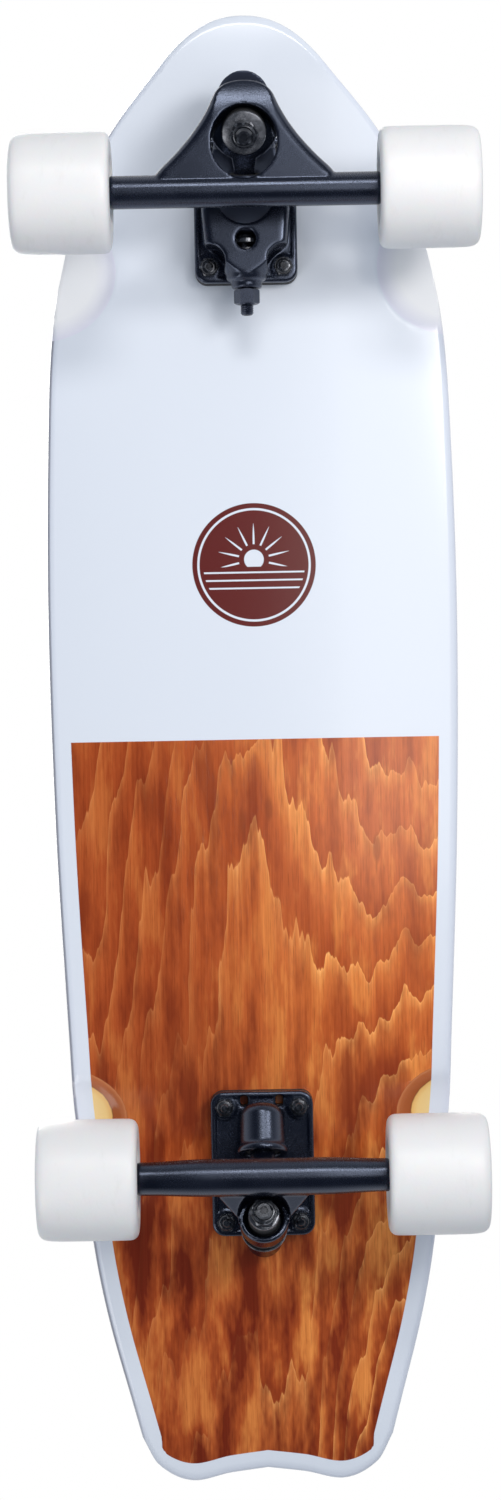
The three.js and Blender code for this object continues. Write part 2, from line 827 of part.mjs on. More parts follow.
function addWheel(parent, name, side, truck) {
  const wheel = new THREE.Group();
  wheel.position.set(side * truck.wheelInnerX, truck.axleY, -axleDrop);
  wheel.rotation.z = -side * Math.PI * half;
  parent.add(wheel);
  addPiece(wheel, `${name}_wheel`, makeWheel(), materials.urethane);
  const innerStart = wheelInnerRecess + seatGap * half;
  const outerStart = innerStart + bearingWidth + wheelCoreGap;
  const inner = addPiece(wheel, `${name}_bearing_inner`, makeBearing(), materials.steel);
  inner.position.y = innerStart;
  const outer = addPiece(wheel, `${name}_bearing_outer`, makeBearing(), materials.steel);
  outer.position.y = outerStart;
  const start = outerStart + bearingWidth + seatGap;
  const origin = new THREE.Vector3(0, start, 0);
  const nutUp = new THREE.Vector3(0, 1, 0);
  const nut = raised(hexagon(axleNutFlats), 0, axleNutHeight, origin, nutUp);
  const bore = rod(axleRadius + runningGap, -overrun, axleNutHeight + overrun, origin, nutUp, coarseSteps);
  addPiece(wheel, `${name}_axle_nut`, cut(nut, bore), materials.blackSteel);
}

// Front truck

const front = {
  axleY: frontAxleY,
  wheelInnerX: frontWheelInnerX,
  lean: frontLean,
  leanSide: -1,
  ringY: frontRingY,
  ringZ: frontRingZ,
  pivotY: frontPivotY,
  pivotZ: frontPivotZ,
  pinRadius: frontPinRadius,
  cupDepth: frontCupDepth,
  cupReach: frontCupReach,
  seatFloor: frontSeatFloor,
  roadBushingRadius: bushingRadius,
  roadBushingEnd: bushingEndRadius,
  roadWasherRadius: frontWasherRadius,
  barMiddleRadius: barRadius,
};
const frontStack = makeStack(front);

function makeFrontBaseplate() {
  const swivel = new THREE.Vector3(0, swivelY, 0);
  const outline = new THREE.Shape();
  outline.moveTo(-housingHalfWidth, housingFrontY);
  outline.lineTo(-housingWaistHalfWidth, housingWaistY);
  outline.lineTo(-springTubeRadius, springTubeStepY);
  outline.lineTo(springTubeRadius, springTubeStepY);
  outline.lineTo(housingWaistHalfWidth, housingWaistY);
  outline.lineTo(housingHalfWidth, housingFrontY);
  outline.closePath();
  const springLine = new THREE.Vector3(0, 0, springAxisZ);
  const pocketRadius = armHubRadius + housingPocketClearance;
  const adjusterY = springEndY - seatGap - adjusterFlange - seatGap;
  let plate = join(
    plateBlank(plateTopZ, plateThickness),
    raised(outline, housingBottomZ, plateBottomZ + overrun, centre, upward),
    rod(springTubeRadius, -housingWaistY, -springTubeStepY, springLine, tailward),
    rod(springTubeEndRadius, -springTubeStepY - overrun, -housingTailY, springLine, tailward),
  );
  const bearingBore = swivelBoltRadius + runningGap + swivelBearingWall + seatGap;
  const bearingTop = plateTopZ - swivelHeadHeight - seatGap * 2;
  const wallCutLength = housingFrontY - housingWallEndY + overrun;
  plate = cut(
    plate,
    rod(pocketRadius, housingBottomZ + housingPocketFloor, plateBottomZ, swivel, upward),
    rod(housingMouthRadius, housingBottomZ - overrun, plateBottomZ, swivel, upward),
    box(
      housingHalfWidth * 2 + overrun,
      wallCutLength,
      plateBottomZ - housingBottomZ + overrun,
      0,
      housingWallEndY + wallCutLength * half,
      (housingBottomZ - overrun + plateBottomZ) * half,
    ),
  );
  plate = join(
    plate,
    rod(swivelBossRadius, plateBottomZ - swivelBossDepth, plateBottomZ + overrun, swivel, upward),
  );
  for (const side of [-1, 1]) {
    const place = new THREE.Vector3(side * boltSpacingX * half, -boltSpacingY * half, 0);
    plate = cut(plate, rod(cutoutRadius, housingBottomZ - overrun, plateBottomZ, place, upward));
  }
  plate = cut(
    plate,
    rod(springBoreRadius, -swivelY, -adjusterY, springLine, tailward),
    rod(adjusterRadius + runningGap, -springEndY, -housingTailY + overrun, springLine, tailward, coarseSteps),
    rod(windowRadius, housingBottomZ - overrun, springAxisZ, new THREE.Vector3(0, windowY, 0), upward),
    rod(bearingBore, plateBottomZ - swivelBossDepth - overrun, plateTopZ + overrun, swivel, upward),
    rod(swivelHeadRadius + runningGap, bearingTop, plateTopZ + overrun, swivel, upward),
  );
  return drillBoltHoles(plate, plateTopZ, plateBottomZ);
}

function makeSwingArm() {
  const stack = frontStack;
  const swivel = new THREE.Vector3(0, swivelY, 0);
  const noseReach = armNoseY + armNoseRadius;
  const seatTo = (y) => {
    const [seatY, seatZ] = pointOn(stack, -stack.seat, 0);
    return [y, seatZ + (y - seatY) * stack.inPlane.z / stack.inPlane.y];
  };
  const bushingTail = armNoseTopY - bushingRadius;
  const tail = swivelY - armHubRadius - overrun;
  const noseDrop = (noseReach - armNoseTopY) * Math.tan(THREE.MathUtils.degToRad(frontLean));
  const side = sideBlock([
    [tail, armTopZ],
    [armNoseTopY, armTopZ],
    [noseReach + overrun, armTopZ - noseDrop],
    seatTo(noseReach + overrun),
    seatTo(bushingTail),
    [bushingTail - washerRim * 4, armBottomZ],
    [tail, armBottomZ],
  ], armHubRadius + overrun);
  const plan = raised(
    linkShape(swivelY, armHubRadius, armNoseY, armNoseRadius),
    armBottomZ * 2,
    armTopZ + overrun,
    centre,
    upward,
  );
  const closed = stack.pivotDistance + front.cupReach;
  const bossRadius = front.pinRadius + runningGap + cupWall + seatGap + frontBossWall;
  const boss = rod(bossRadius, closed - front.cupDepth, closed + frontBossWall + seatGap, stack.ring, stack.steer);
  const camY = swivelY - armHubRadius + armCamFlat;
  const up = stack.axis.clone().negate();
  const pocketFloor = stack.seat + front.seatFloor;
  const arm = join(side.intersect(plan), boss);
  return cut(
    arm,
    cupSocket(front, stack),
    box(armHubRadius * 2, armHubRadius, armHubRadius * 4, 0, camY - armHubRadius * half, armBottomZ),
    rod(swivelBoltRadius + runningGap, armTopZ - swivelBoltDepth - seatGap, armTopZ + overrun, swivel, upward),
    rod(kingpinRadius + runningGap, stack.seat - overrun, pocketFloor + overrun, stack.ring, up, coarseSteps),
    rod(kingpinHeadRadius + seatGap, pocketFloor, pocketFloor * 2, stack.ring, up, coarseSteps),
  );
}

function addSwivelPieces(root) {
  const swivel = new THREE.Vector3(0, swivelY, 0);
  const headTop = plateTopZ - seatGap;
  const headBase = headTop - swivelHeadHeight;
  const bolt = turned([
    [0, armTopZ - swivelBoltDepth],
    [swivelBoltRadius, armTopZ - swivelBoltDepth],
    [swivelBoltRadius, headBase],
    [swivelHeadRadius, headBase],
    [swivelHeadRadius, headTop],
    [0, headTop],
  ], swivel, upward, coarseSteps);
  addPiece(root, 'front_swivel_bolt', bolt, materials.blackSteel);
  const bossBottom = plateBottomZ - swivelBossDepth;
  const bore = swivelBoltRadius + runningGap;
  const bearingTop = headBase - seatGap;
  const bearing = tube(bore, bore + swivelBearingWall, bossBottom, bearingTop, swivel, upward, coarseSteps);
  addPiece(root, 'front_swivel_bearing', bearing, materials.steel);
  const washer = tube(bore, thrustWasherRadius, armTopZ + seatGap, bossBottom - seatGap, swivel, upward);
  addPiece(root, 'front_thrust_washer', washer, materials.steel);
}

function addSpringPieces(root) {
  const line = new THREE.Vector3(0, 0, springAxisZ);
  const hubTail = armHubRadius - swivelY;
  const face = hubTail + plungerGap;
  const back = -springStartY - seatGap;
  const plunger = turned([
    [0, face],
    [plungerNoseRadius * half, face],
    [plungerNoseRadius, face + plungerNoseRadius * half],
    [plungerNoseRadius, back - plungerFlange],
    [plungerRadius, back - plungerFlange],
    [plungerRadius, back],
    [0, back],
  ], line, tailward, coarseSteps);
  addPiece(root, 'front_spring_plunger', plunger, materials.steel);

  const wire = springWire * half;
  const first = springStartY - wire;
  const last = springEndY + wire;
  const points = [];
  const steps = springTurns * stepsPerTurn;
  for (let i = 0; i <= steps; i += 1) {
    const angle = i / stepsPerTurn * Math.PI * 2;
    const y = first + (last - first) * i / steps;
    points.push(new THREE.Vector3(
      springRadius * Math.cos(angle),
      y,
      springAxisZ + springRadius * Math.sin(angle),
    ));
  }
  addPiece(root, 'front_centring_spring', coil(points, wire), materials.steel);
  console.log(`centring spring, least gap between turns: ${leastGap(points, springWire).toFixed(2)} mm`);

  const adjusterStart = -springEndY + seatGap;
  const nutStart = -housingTailY + seatGap;
  const nutEnd = nutStart + locknutHeight;
  const adjuster = turned([
    [0, adjusterStart],
    [plungerRadius, adjusterStart],
    [plungerRadius, adjusterStart + adjusterFlange],
    [adjusterRadius, adjusterStart + adjusterFlange],
    [adjusterRadius, nutEnd],
    [adjusterEndRadius, nutEnd + adjusterRadius - adjusterEndRadius],
    [adjusterEndRadius, nutEnd + adjusterEndLength],
    [0, nutEnd + adjusterEndLength],
  ], line, tailward, coarseSteps);
  addPiece(root, 'front_spring_adjuster', adjuster, materials.blackSteel);
  const locknut = cut(
    raised(hexagon(locknutFlats), nutStart, nutEnd, line, tailward),
    rod(adjusterRadius + runningGap, nutStart - overrun, nutEnd + overrun, line, tailward, coarseSteps),
  );
  addPiece(root, 'front_spring_locknut', locknut, materials.blackSteel);
}

// A round wire of five sides along points, closed at both ends.
function coil(points, radius) {
  const sides = 5;
  const positions = [];
  const faces = [];
  const tangent = new THREE.Vector3();
  const outward = new THREE.Vector3();
  const along = new THREE.Vector3();
  points.forEach((point, i) => {
    const before = points[Math.max(i - 1, 0)];
    const after = points[Math.min(i + 1, points.length - 1)];
    tangent.subVectors(after, before).normalize();
    outward.set(point.x, 0, point.z - springAxisZ).normalize();
    along.crossVectors(tangent, outward).normalize();
    for (let k = 0; k < sides; k += 1) {
      const angle = k / sides * Math.PI * 2;
      const place = point.clone();
      place.addScaledVector(outward, radius * Math.cos(angle));
      place.addScaledVector(along, radius * Math.sin(angle));
      positions.push(place.x, place.y, place.z);
    }
  });
  const last = (points.length - 1) * sides;
  for (let i = 0; i + 1 < points.length; i += 1) {
    for (let k = 0; k < sides; k += 1) {
      const a = i * sides + k;
      const b = i * sides + (k + 1) % sides;
      faces.push(a, b, b + sides, a, b + sides, a + sides);
    }
  }
  for (let k = 1; k + 1 < sides; k += 1) {
    faces.push(0, k + 1, k, last, last + k, last + k + 1);
  }
  const geometry = new THREE.BufferGeometry();
  geometry.setAttribute('position', new THREE.Float32BufferAttribute(positions, 3));
  geometry.setIndex(faces);
  return solid(geometry);
}

function leastGap(points, wire) {
  let least = Infinity;
  points.forEach((point, i) => {
    for (let k = i + stepsPerTurn - 1; k < points.length; k += 1) {
      least = Math.min(least, point.distanceTo(points[k]) - wire);
    }
  });
  return least;
}

function makeFrontHanger() {
  const stack = frontStack;
  const tailY = frontAxleY - barRadius * half;
  const plan = new THREE.Shape();
  plan.moveTo(-legHalfWidth, tailY);
  plan.lineTo(-legHalfWidth, frontAxleY + barRadius);
  plan.quadraticCurveTo(-legMidHalfWidth, legMidY, -legNoseHalfWidth, legNoseY - legNoseRound);
  plan.quadraticCurveTo(-legNoseShoulder, legNoseY, 0, legNoseY);
  plan.quadraticCurveTo(legNoseShoulder, legNoseY, legNoseHalfWidth, legNoseY - legNoseRound);
  plan.quadraticCurveTo(legMidHalfWidth, legMidY, legHalfWidth, frontAxleY + barRadius);
  plan.lineTo(legHalfWidth, tailY);
  plan.closePath();
  const legs = raised(plan, legBottomZ, legTopZ, centre, upward, cornerSteps).intersect(sideBlock([
    [tailY, legTopZ],
    [frontRingY, legTopZ],
    [legNoseY + overrun, legNoseTopZ],
    [legNoseY + overrun, legNoseBottomZ],
    [legNoseY - legNoseRound, legBottomZ + seatGap],
    [frontAxleY + barRadius, legBottomZ],
    [tailY, legBottomZ + overrun],
  ], legHalfWidth + overrun));
  const { ring, axis } = stack;
  const body = join(
    axleBar(front),
    legs,
    rod(frontRingRadius, -ringHalfThickness, frontRingSkirt, ring, axis),
    pivotPin(front, stack, frontPinRadius + washerThickness),
  );
  const reach = axleDrop;
  const cavity = raised(
    oval(cavityHalfWidth, cavityHalfLength, cavityY),
    -axleDrop - barRadius * 2,
    frontRingZ + frontRingRadius,
    centre,
    upward,
  ).intersect(rod(reach, ringHalfThickness, reach, ring, axis));
  return cut(
    body,
    cavity,
    rod(frontBushingBore, ringHalfThickness, frontRingSkirt + overrun, ring, axis),
    rod(ringHoleRadius, -ringHalfThickness - overrun, reach * half, ring, axis),
    axleBore(front),
  );
}

// Rear truck

const rear = {
  axleY: rearAxleY,
  wheelInnerX: rearWheelInnerX,
  lean: rearLean,
  leanSide: 1,
  ringY: rearRingY,
  ringZ: rearRingZ,
  pivotY: rearPivotY,
  pivotZ: rearPivotZ,
  pinRadius: rearPinRadius,
  cupDepth: rearCupDepth,
  cupReach: rearCupReach,
  seatFloor: rearSeatFloor,
  roadBushingRadius: rearRoadBushingRadius,
  roadBushingEnd: rearRoadBushingEnd,
  roadWasherRadius: rearRoadWasherRadius,
  barMiddleRadius: rearBarMiddleRadius,
};
const rearStack = makeStack(rear);

function makeRearBaseplate() {
  const stack = rearStack;
  const { ring, axis, steer } = stack;
  const up = axis.clone().negate();
  const closed = stack.pivotDistance + rear.cupReach;
  const mouth = closed - rear.cupDepth - rearPivotLipLength * half;
  const bossTop = stack.seat * 2 + rearSeatFloor;
  const topCut = plateLength * 2;
  const dome = rearPivotHousingRadius * half;
  const housing = turned([
    [0, mouth],
    [rearPivotHousingRadius + rearPivotLip, mouth],
    [rearPivotHousingRadius + rearPivotLip, mouth + rearPivotLipLength],
    [rearPivotHousingRadius, mouth + rearPivotLipLength + rearPivotLip],
    [rearPivotHousingRadius, mouth + rearPivotHousingLength - dome],
    [rearPivotHousingRadius * Math.cos(Math.PI / 6), mouth + rearPivotHousingLength - dome * half],
    [dome, mouth + rearPivotHousingLength],
    [0, mouth + rearPivotHousingLength],
  ], ring, steer);
  const plate = join(
    plateBlank(plateTopZ, plateThickness),
    housing,
    rod(rearBossRadius, stack.seat, bossTop, ring, up),
  );
  const pocketFloor = stack.seat + rear.seatFloor;
  return drillBoltHoles(cut(
    plate,
    box(topCut, topCut, topCut, 0, 0, plateTopZ + topCut * half),
    cupSocket(rear, stack),
    rod(kingpinRadius + runningGap, stack.seat - overrun, pocketFloor + overrun, ring, up, coarseSteps),
    rod(kingpinHeadRadius + seatGap, pocketFloor, pocketFloor * 2, ring, up, coarseSteps),
    ...rearWindows(plateTopZ, plateBottomZ),
  ), plateTopZ, plateBottomZ);
}

function makeRearHanger() {
  const stack = rearStack;
  const { ring, axis } = stack;
  const plan = new THREE.Shape();
  plan.moveTo(-webHalfWidth, rearAxleY + barRadius * half);
  plan.lineTo(-webHalfWidth, rearAxleY - barRadius * half);
  plan.lineTo(-webTailHalfWidth, rearRingY + ringHalfThickness);
  plan.lineTo(-webTailHalfWidth, rearRingY);
  plan.lineTo(webTailHalfWidth, rearRingY);
  plan.lineTo(webTailHalfWidth, rearRingY + ringHalfThickness);
  plan.lineTo(webHalfWidth, rearAxleY - barRadius * half);
  plan.lineTo(webHalfWidth, rearAxleY + barRadius * half);
  plan.closePath();
  const [skirtY, skirtZ] = pointOn(stack, rearSkirt, 0);
  const webs = raised(plan, webBottomZ, rearRingZ, centre, upward, cornerSteps).intersect(sideBlock([
    [rearAxleY + barRadius * half, webBottomZ + barRadius * half],
    [rearAxleY + barRadius * half, -axleDrop + barRadius * half],
    [rearAxleY - barRadius, webTopZ],
    [rearRingY - overrun, rearRingZ - ringHalfThickness],
    [rearRingY - overrun, skirtZ - ringHalfThickness],
    [skirtY + overrun, skirtZ - ringHalfThickness],
    [rearAxleY - barRadius * half, webBottomZ],
  ], webHalfWidth + overrun));
  const ribLow = -axleDrop;
  const rib = sideBlock([
    [rearAxleY + barRadius * half * half, ribLow],
    [rearAxleY + barRadius, (rearPivotZ + rearRingZ) * half],
    [rearRingY + rearRingRadius, (rearPivotZ + rearRingZ) * half - barRadius * half],
    [rearRingY + rearRingRadius, webTopZ + ringHalfThickness],
    [rearAxleY - barRadius * half * half, ribLow],
  ], webRibHalf);
  const body = join(
    axleBar(rear),
    webs,
    rib,
    rod(rearRingRadius, -ringHalfThickness, rearSkirt, ring, axis),
    pivotPin(rear, stack, rearPinRadius + washerThickness),
  );
  const reach = axleDrop;
  const slotLength = rearNutClearRadius * 2;
  const nutSlot = roundedRectangle(slotLength + rearNutSwing * 2, slotLength, rearNutClearRadius);
  return cut(
    body,
    rod(rearSkirtBore, ringHalfThickness, rearSkirt + overrun, ring, axis),
    raised(nutSlot, rearSkirt - seatGap, stack.nutEnd + kingpinEnd * half, ring, axis),
    rod(ringHoleRadius, -ringHalfThickness - overrun, reach * half, ring, axis),
    axleBore(rear),
  );
}

// Assembly

addPiece(group, 'deck', makeDeck(), materials.deck);
addPiece(group, 'grip_tape', makeGripTape(), materials.grip);

const trucks = [
  { prefix: 'front', plateY: frontPlateY, settings: front, stack: frontStack },
  { prefix: 'rear', plateY: rearPlateY, settings: rear, stack: rearStack },
];
for (const { prefix, plateY, settings, stack } of trucks) {
  const truck = new THREE.Group();
  truck.position.set(0, plateY, underZ);
  group.add(truck);
  if (prefix === 'front') {
    addPiece(truck, 'front_riser', makeRiser(), materials.riser);
    addPiece(truck, 'front_baseplate', makeFrontBaseplate(), materials.casting);
    addPiece(truck, 'front_swing_arm', makeSwingArm(), materials.casting);
    addPiece(truck, 'front_hanger', makeFrontHanger(), materials.casting);
    addSwivelPieces(truck);
    addSpringPieces(truck);
  } else {
    addPiece(truck, 'rear_riser', cut(makeRiser(), ...rearWindows(-seatGap, plateTopZ)), materials.riser);
    addPiece(truck, 'rear_baseplate', makeRearBaseplate(), materials.casting);
    addPiece(truck, 'rear_hanger', makeRearHanger(), materials.casting);
  }
  addKingpinPieces(truck, prefix, settings, stack);
  addPivotCup(truck, prefix, settings, stack);
  addAxle(truck, prefix, settings);
  addWheel(truck, `${prefix}_right`, 1, settings);
  addWheel(truck, `${prefix}_left`, -1, settings);
  boltPlaces(0).forEach((place, i) => {
    addPiece(truck, `${prefix}_mounting_bolt_${i + 1}`, makeMountingBolt(place), materials.blackSteel);
  });
}

export default group;
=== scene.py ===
import json
import math

import bmesh
import bpy
from mathutils import Matrix, Vector


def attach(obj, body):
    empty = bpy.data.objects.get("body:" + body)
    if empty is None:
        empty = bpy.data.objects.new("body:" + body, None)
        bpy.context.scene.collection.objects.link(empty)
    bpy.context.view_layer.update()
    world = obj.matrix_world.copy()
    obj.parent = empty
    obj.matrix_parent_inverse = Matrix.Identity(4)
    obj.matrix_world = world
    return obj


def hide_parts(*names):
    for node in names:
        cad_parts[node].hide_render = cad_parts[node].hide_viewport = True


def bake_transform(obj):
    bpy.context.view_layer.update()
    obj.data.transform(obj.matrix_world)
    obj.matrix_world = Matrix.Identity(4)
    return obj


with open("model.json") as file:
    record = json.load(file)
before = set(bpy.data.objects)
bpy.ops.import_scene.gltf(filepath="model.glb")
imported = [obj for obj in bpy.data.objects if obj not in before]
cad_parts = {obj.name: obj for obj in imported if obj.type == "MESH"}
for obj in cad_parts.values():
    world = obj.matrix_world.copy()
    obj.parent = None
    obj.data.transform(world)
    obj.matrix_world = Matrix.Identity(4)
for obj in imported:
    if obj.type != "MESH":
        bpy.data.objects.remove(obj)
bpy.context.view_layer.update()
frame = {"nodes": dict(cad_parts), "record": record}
bodyOf = {node: body for body, nodes in frame["record"]["behaviour"]["bodies"].items() for node in nodes}

# Lengths are in millimetres until a piece is finished. X runs to the rider's right, Y to the nose, Z up.
board = {
    "length": 824.6,
    "width": 229.8,
    "thickness": 11,
    "underZ": 96.5,
    "axleDrop": 64,
    "frontPlateY": 299.5,
    "rearPlateY": -229.5,
}


# Camera, under the board as in the photograph

camera = {"below": 1700, "x": 2.6, "y": 0.1, "roll": 0.0186, "lens": 73.03, "sensor": 36, "near": 0.05,
          "far": 50}


def addCamera():
    data = bpy.data.cameras.new("camera")
    data.sensor_fit = "VERTICAL"
    data.sensor_height = camera["sensor"]
    data.lens = camera["lens"]
    data.clip_start = camera["near"]
    data.clip_end = camera["far"]
    item = bpy.data.objects.new("camera", data)
    bpy.context.scene.collection.objects.link(item)
    across = Vector((-math.cos(camera["roll"]), -math.sin(camera["roll"]), 0))
    upward = Vector((-math.sin(camera["roll"]), math.cos(camera["roll"]), 0))
    turn = Matrix((across, upward, Vector((0, 0, -1)))).transposed().to_4x4()
    spot = Vector((camera["x"], camera["y"], board["underZ"] - camera["below"])) / 1000
    item.matrix_world = Matrix.Translation(spot) @ turn
    bpy.context.scene.camera = item


addCamera()
print("camera placed under the board")


# Shader helpers

def addNode(tree, kind, inputs=None, **settings):
    node = tree.nodes.new(kind)
    for key, value in settings.items():
        setattr(node, key, value)
    for key, value in (inputs or {}).items():
        connect(tree, value, node.inputs[key])
    return node


def connect(tree, value, socket):
    if isinstance(value, bpy.types.NodeSocket):
        tree.links.new(value, socket)
    else:
        socket.default_value = value


def calculate(tree, operation, first, second=0.0, third=0.0, clamp=False):
    inputs = {0: first, 1: second, 2: third}
    return addNode(tree, "ShaderNodeMath", inputs, operation=operation, use_clamp=clamp).outputs[0]


def multiply(tree, *values, clamp=False):
    product = values[0]
    for value in values[1:]:
        product = calculate(tree, "MULTIPLY", product, value, clamp=clamp)
    return product


def divide(tree, value, share, clamp=False):
    return calculate(tree, "DIVIDE", value, share, clamp=clamp)


def subtract(tree, first, second, clamp=False):
    return calculate(tree, "SUBTRACT", first, second, clamp=clamp)


def scaleAndAdd(tree, value, factor, added):
    return calculate(tree, "MULTIPLY_ADD", value, factor, added)


def largest(tree, *values):
    result = values[0]
    for value in values[1:]:
        result = calculate(tree, "MAXIMUM", result, value)
    return result


def awayFrom(tree, value, level):
    return calculate(tree, "ABSOLUTE", subtract(tree, value, level))


def spanOf(tree, first, second):
    # how far a point is, from its two distances square to each other
    return calculate(tree, "SQRT", scaleAndAdd(tree, first, first, multiply(tree, second, second)))


def rampMask(tree, value, start, end):
    # 0 below start, 1 above end, and the other way round where end is lower
    node = addNode(tree, "ShaderNodeMapRange", {"Value": value, "From Min": start, "From Max": end})
    return node.outputs["Result"]


def mixColours(tree, share, first, second, blend="MIX"):
    node = addNode(tree, "ShaderNodeMix", data_type="RGBA", blend_type=blend)
    connect(tree, share, node.inputs["Factor"])
    connect(tree, first, node.inputs[6])
    connect(tree, second, node.inputs[7])
    return node.outputs[2]


def colourRamp(tree, value, stops, interpolation="LINEAR"):
    node = addNode(tree, "ShaderNodeValToRGB", {"Fac": value})
    ramp = node.color_ramp
    ramp.interpolation = interpolation
    while len(ramp.elements) < len(stops):
        ramp.elements.new(0.5)
    for element, (place, colour) in zip(ramp.elements, stops):
        element.position = place
        element.color = (*colour, 1)
    return node.outputs["Color"]


def stretchedNoise(tree, vector, scale, detail=3, roughness=0.5):
    # scale is cycles per millimetre, one number or one for each axis
    rates = (scale, scale, scale) if isinstance(scale, float) else scale
    sized = addNode(tree, "ShaderNodeVectorMath", {0: vector, 1: rates}, operation="MULTIPLY").outputs[0]
    inputs = {"Vector": sized, "Scale": 1.0, "Detail": detail, "Roughness": roughness, "Distortion": 0.0}
    return addNode(tree, "ShaderNodeTexNoise", inputs).outputs["Fac"]


def millimetres(tree):
    metres = addNode(tree, "ShaderNodeTexCoord").outputs["Object"]
    inputs = {0: metres, 1: (1000, 1000, 1000)}
    return addNode(tree, "ShaderNodeVectorMath", inputs, operation="MULTIPLY").outputs[0]


def acrossAndAlong(tree, where):
    split = addNode(tree, "ShaderNodeSeparateXYZ", {0: where})
    return split.outputs["X"], split.outputs["Y"]


def feed(tree, node, **sockets):
    # joins what was worked out to a shader's or a group's sockets
    for key, value in sockets.items():
        tree.links.new(value, node.inputs[key.replace("_", " ")])


def attributeValue(tree, name):
    return addNode(tree, "ShaderNodeAttribute", attribute_name=name, attribute_type="GEOMETRY").outputs["Fac"]


def newGroup(name, inputs, outputs):
    tree = bpy.data.node_groups.new(name, "ShaderNodeTree")
    for label, kind, value in inputs:
        socket = tree.interface.new_socket(label, in_out="INPUT", socket_type=kind)
        socket.default_value = value
    for label, kind in outputs:
        tree.interface.new_socket(label, in_out="OUTPUT", socket_type=kind)
    return tree, tree.nodes.new("NodeGroupInput"), tree.nodes.new("NodeGroupOutput")


def useGroup(tree, group, **inputs):
    node = tree.nodes.new("ShaderNodeGroup")
    node.node_tree = group
    for key, value in inputs.items():
        connect(tree, value, node.inputs[key])
    return node


def newMaterial(name, **settings):
    # fixed values stand on the shader's own sockets
    material = bpy.data.materials.new(name)
    material.use_nodes = True
    tree = material.node_tree
    shader = tree.nodes["Principled BSDF"]
    for key, value in settings.items():
        shader.inputs[key.replace("_", " ")].default_value = value
    return material, tree, shader


def addBump(tree, shader, height, distance, strength):
    bump = addNode(tree, "ShaderNodeBump", {"Height": height, "Distance": distance, "Strength": strength})
    feed(tree, shader, Normal=bump.outputs["Normal"])


# Shared effects

def makeWearGroup():
    # bare, lighter edges, which are wear and on the blackened steels also painted glints, and a thin dust in
    # broad patches
    tree, given, result = newGroup("edgeWearAndGlint", [
        ("Colour", "NodeSocketColor", (0.02, 0.02, 0.02, 1)),
        ("Worn", "NodeSocketColor", (0.2, 0.2, 0.2, 1)),
        ("Amount", "NodeSocketFloat", 0.5),
        ("Roughness", "NodeSocketFloat", 0.4),
    ], [("Colour", "NodeSocketColor"), ("Roughness", "NodeSocketFloat")])
    where = millimetres(tree)
    edges = rampMask(tree, addNode(tree, "ShaderNodeNewGeometry").outputs["Pointiness"], 0.52, 0.62)
    patches = rampMask(tree, stretchedNoise(tree, where, 0.35, detail=5, roughness=0.65), 0.42, 0.62)
    worn = multiply(tree, multiply(tree, edges, patches), given.outputs["Amount"], clamp=True)
    dust = rampMask(tree, stretchedNoise(tree, where, 0.03, detail=4), 0.35, 0.75)
    shade = addNode(tree, "ShaderNodeHueSaturation", {
        "Value": scaleAndAdd(tree, dust, 0.35, 0.85), "Color": given.outputs["Colour"]})
    feed(tree, result, Colour=mixColours(tree, worn, shade.outputs["Color"], given.outputs["Worn"]),
         Roughness=scaleAndAdd(tree, dust, 0.1, given.outputs["Roughness"]))
    return tree


def makeGrainGroup():
    # fine round grain, as of powder coat, rubber or grit
    tree, given, result = newGroup("fineGrain", [
        ("Size", "NodeSocketFloat", 0.6),
        ("Contrast", "NodeSocketFloat", 1.0),
    ], [("Height", "NodeSocketFloat"), ("Mask", "NodeSocketFloat")])
    where = millimetres(tree)
    rate = divide(tree, 1.0, given.outputs["Size"])
    inputs = {"Vector": where, "Scale": rate, "Detail": 2.0, "Roughness": 0.6}
    fine = addNode(tree, "ShaderNodeTexNoise", inputs)
    cells = addNode(tree, "ShaderNodeTexVoronoi", {"Vector": where, "Scale": rate})
    height = subtract(tree, fine.outputs["Fac"], cells.outputs["Distance"])
    feed(tree, result, Height=multiply(tree, height, given.outputs["Contrast"]),
         Mask=rampMask(tree, fine.outputs["Fac"], 0.45, 0.65))
    return tree


plywood = {
    "layer": 1.57,
    "long": ((0.66, 0.42, 0.22, 1), (0.83, 0.6, 0.36, 1)),
    "cross": ((0.42, 0.23, 0.1, 1), (0.6, 0.36, 0.18, 1)),
    "glue": (0.16, 0.07, 0.03, 1),
    "glueShown": 0.6,
}


def makePlyGroup():
    # the layers of a plywood edge, by the height over the deck's underside
    tree, given, result = newGroup("plyLayers", [
        ("Height", "NodeSocketFloat", 0.0),
        ("Layer", "NodeSocketFloat", plywood["layer"]),
    ], [("Colour", "NodeSocketColor"), ("Roughness", "NodeSocketFloat")])
    where = millimetres(tree)
    waves = stretchedNoise(tree, where, (0.02, 0.02, 0.2), detail=2)
    level = scaleAndAdd(tree, waves, 0.35, given.outputs["Height"])
    layers = divide(tree, level, given.outputs["Layer"])
    crossed = rampMask(tree, calculate(tree, "PINGPONG", layers, 1.0), 0.45, 0.55)
    fibre = stretchedNoise(tree, where, (1.1, 0.08, 3.0), detail=4)
    long = mixColours(tree, fibre, *plywood["long"])
    cross = mixColours(tree, fibre, *plywood["cross"])
    joints = rampMask(tree, awayFrom(tree, calculate(tree, "FRACT", layers), 0.5), 0.44, 0.49)
    glue = multiply(tree, joints, plywood["glueShown"])
    wood = mixColours(tree, crossed, long, cross)
    feed(tree, result, Colour=mixColours(tree, glue, wood, plywood["glue"]),
         Roughness=scaleAndAdd(tree, fibre, 0.15, 0.42))
    return tree


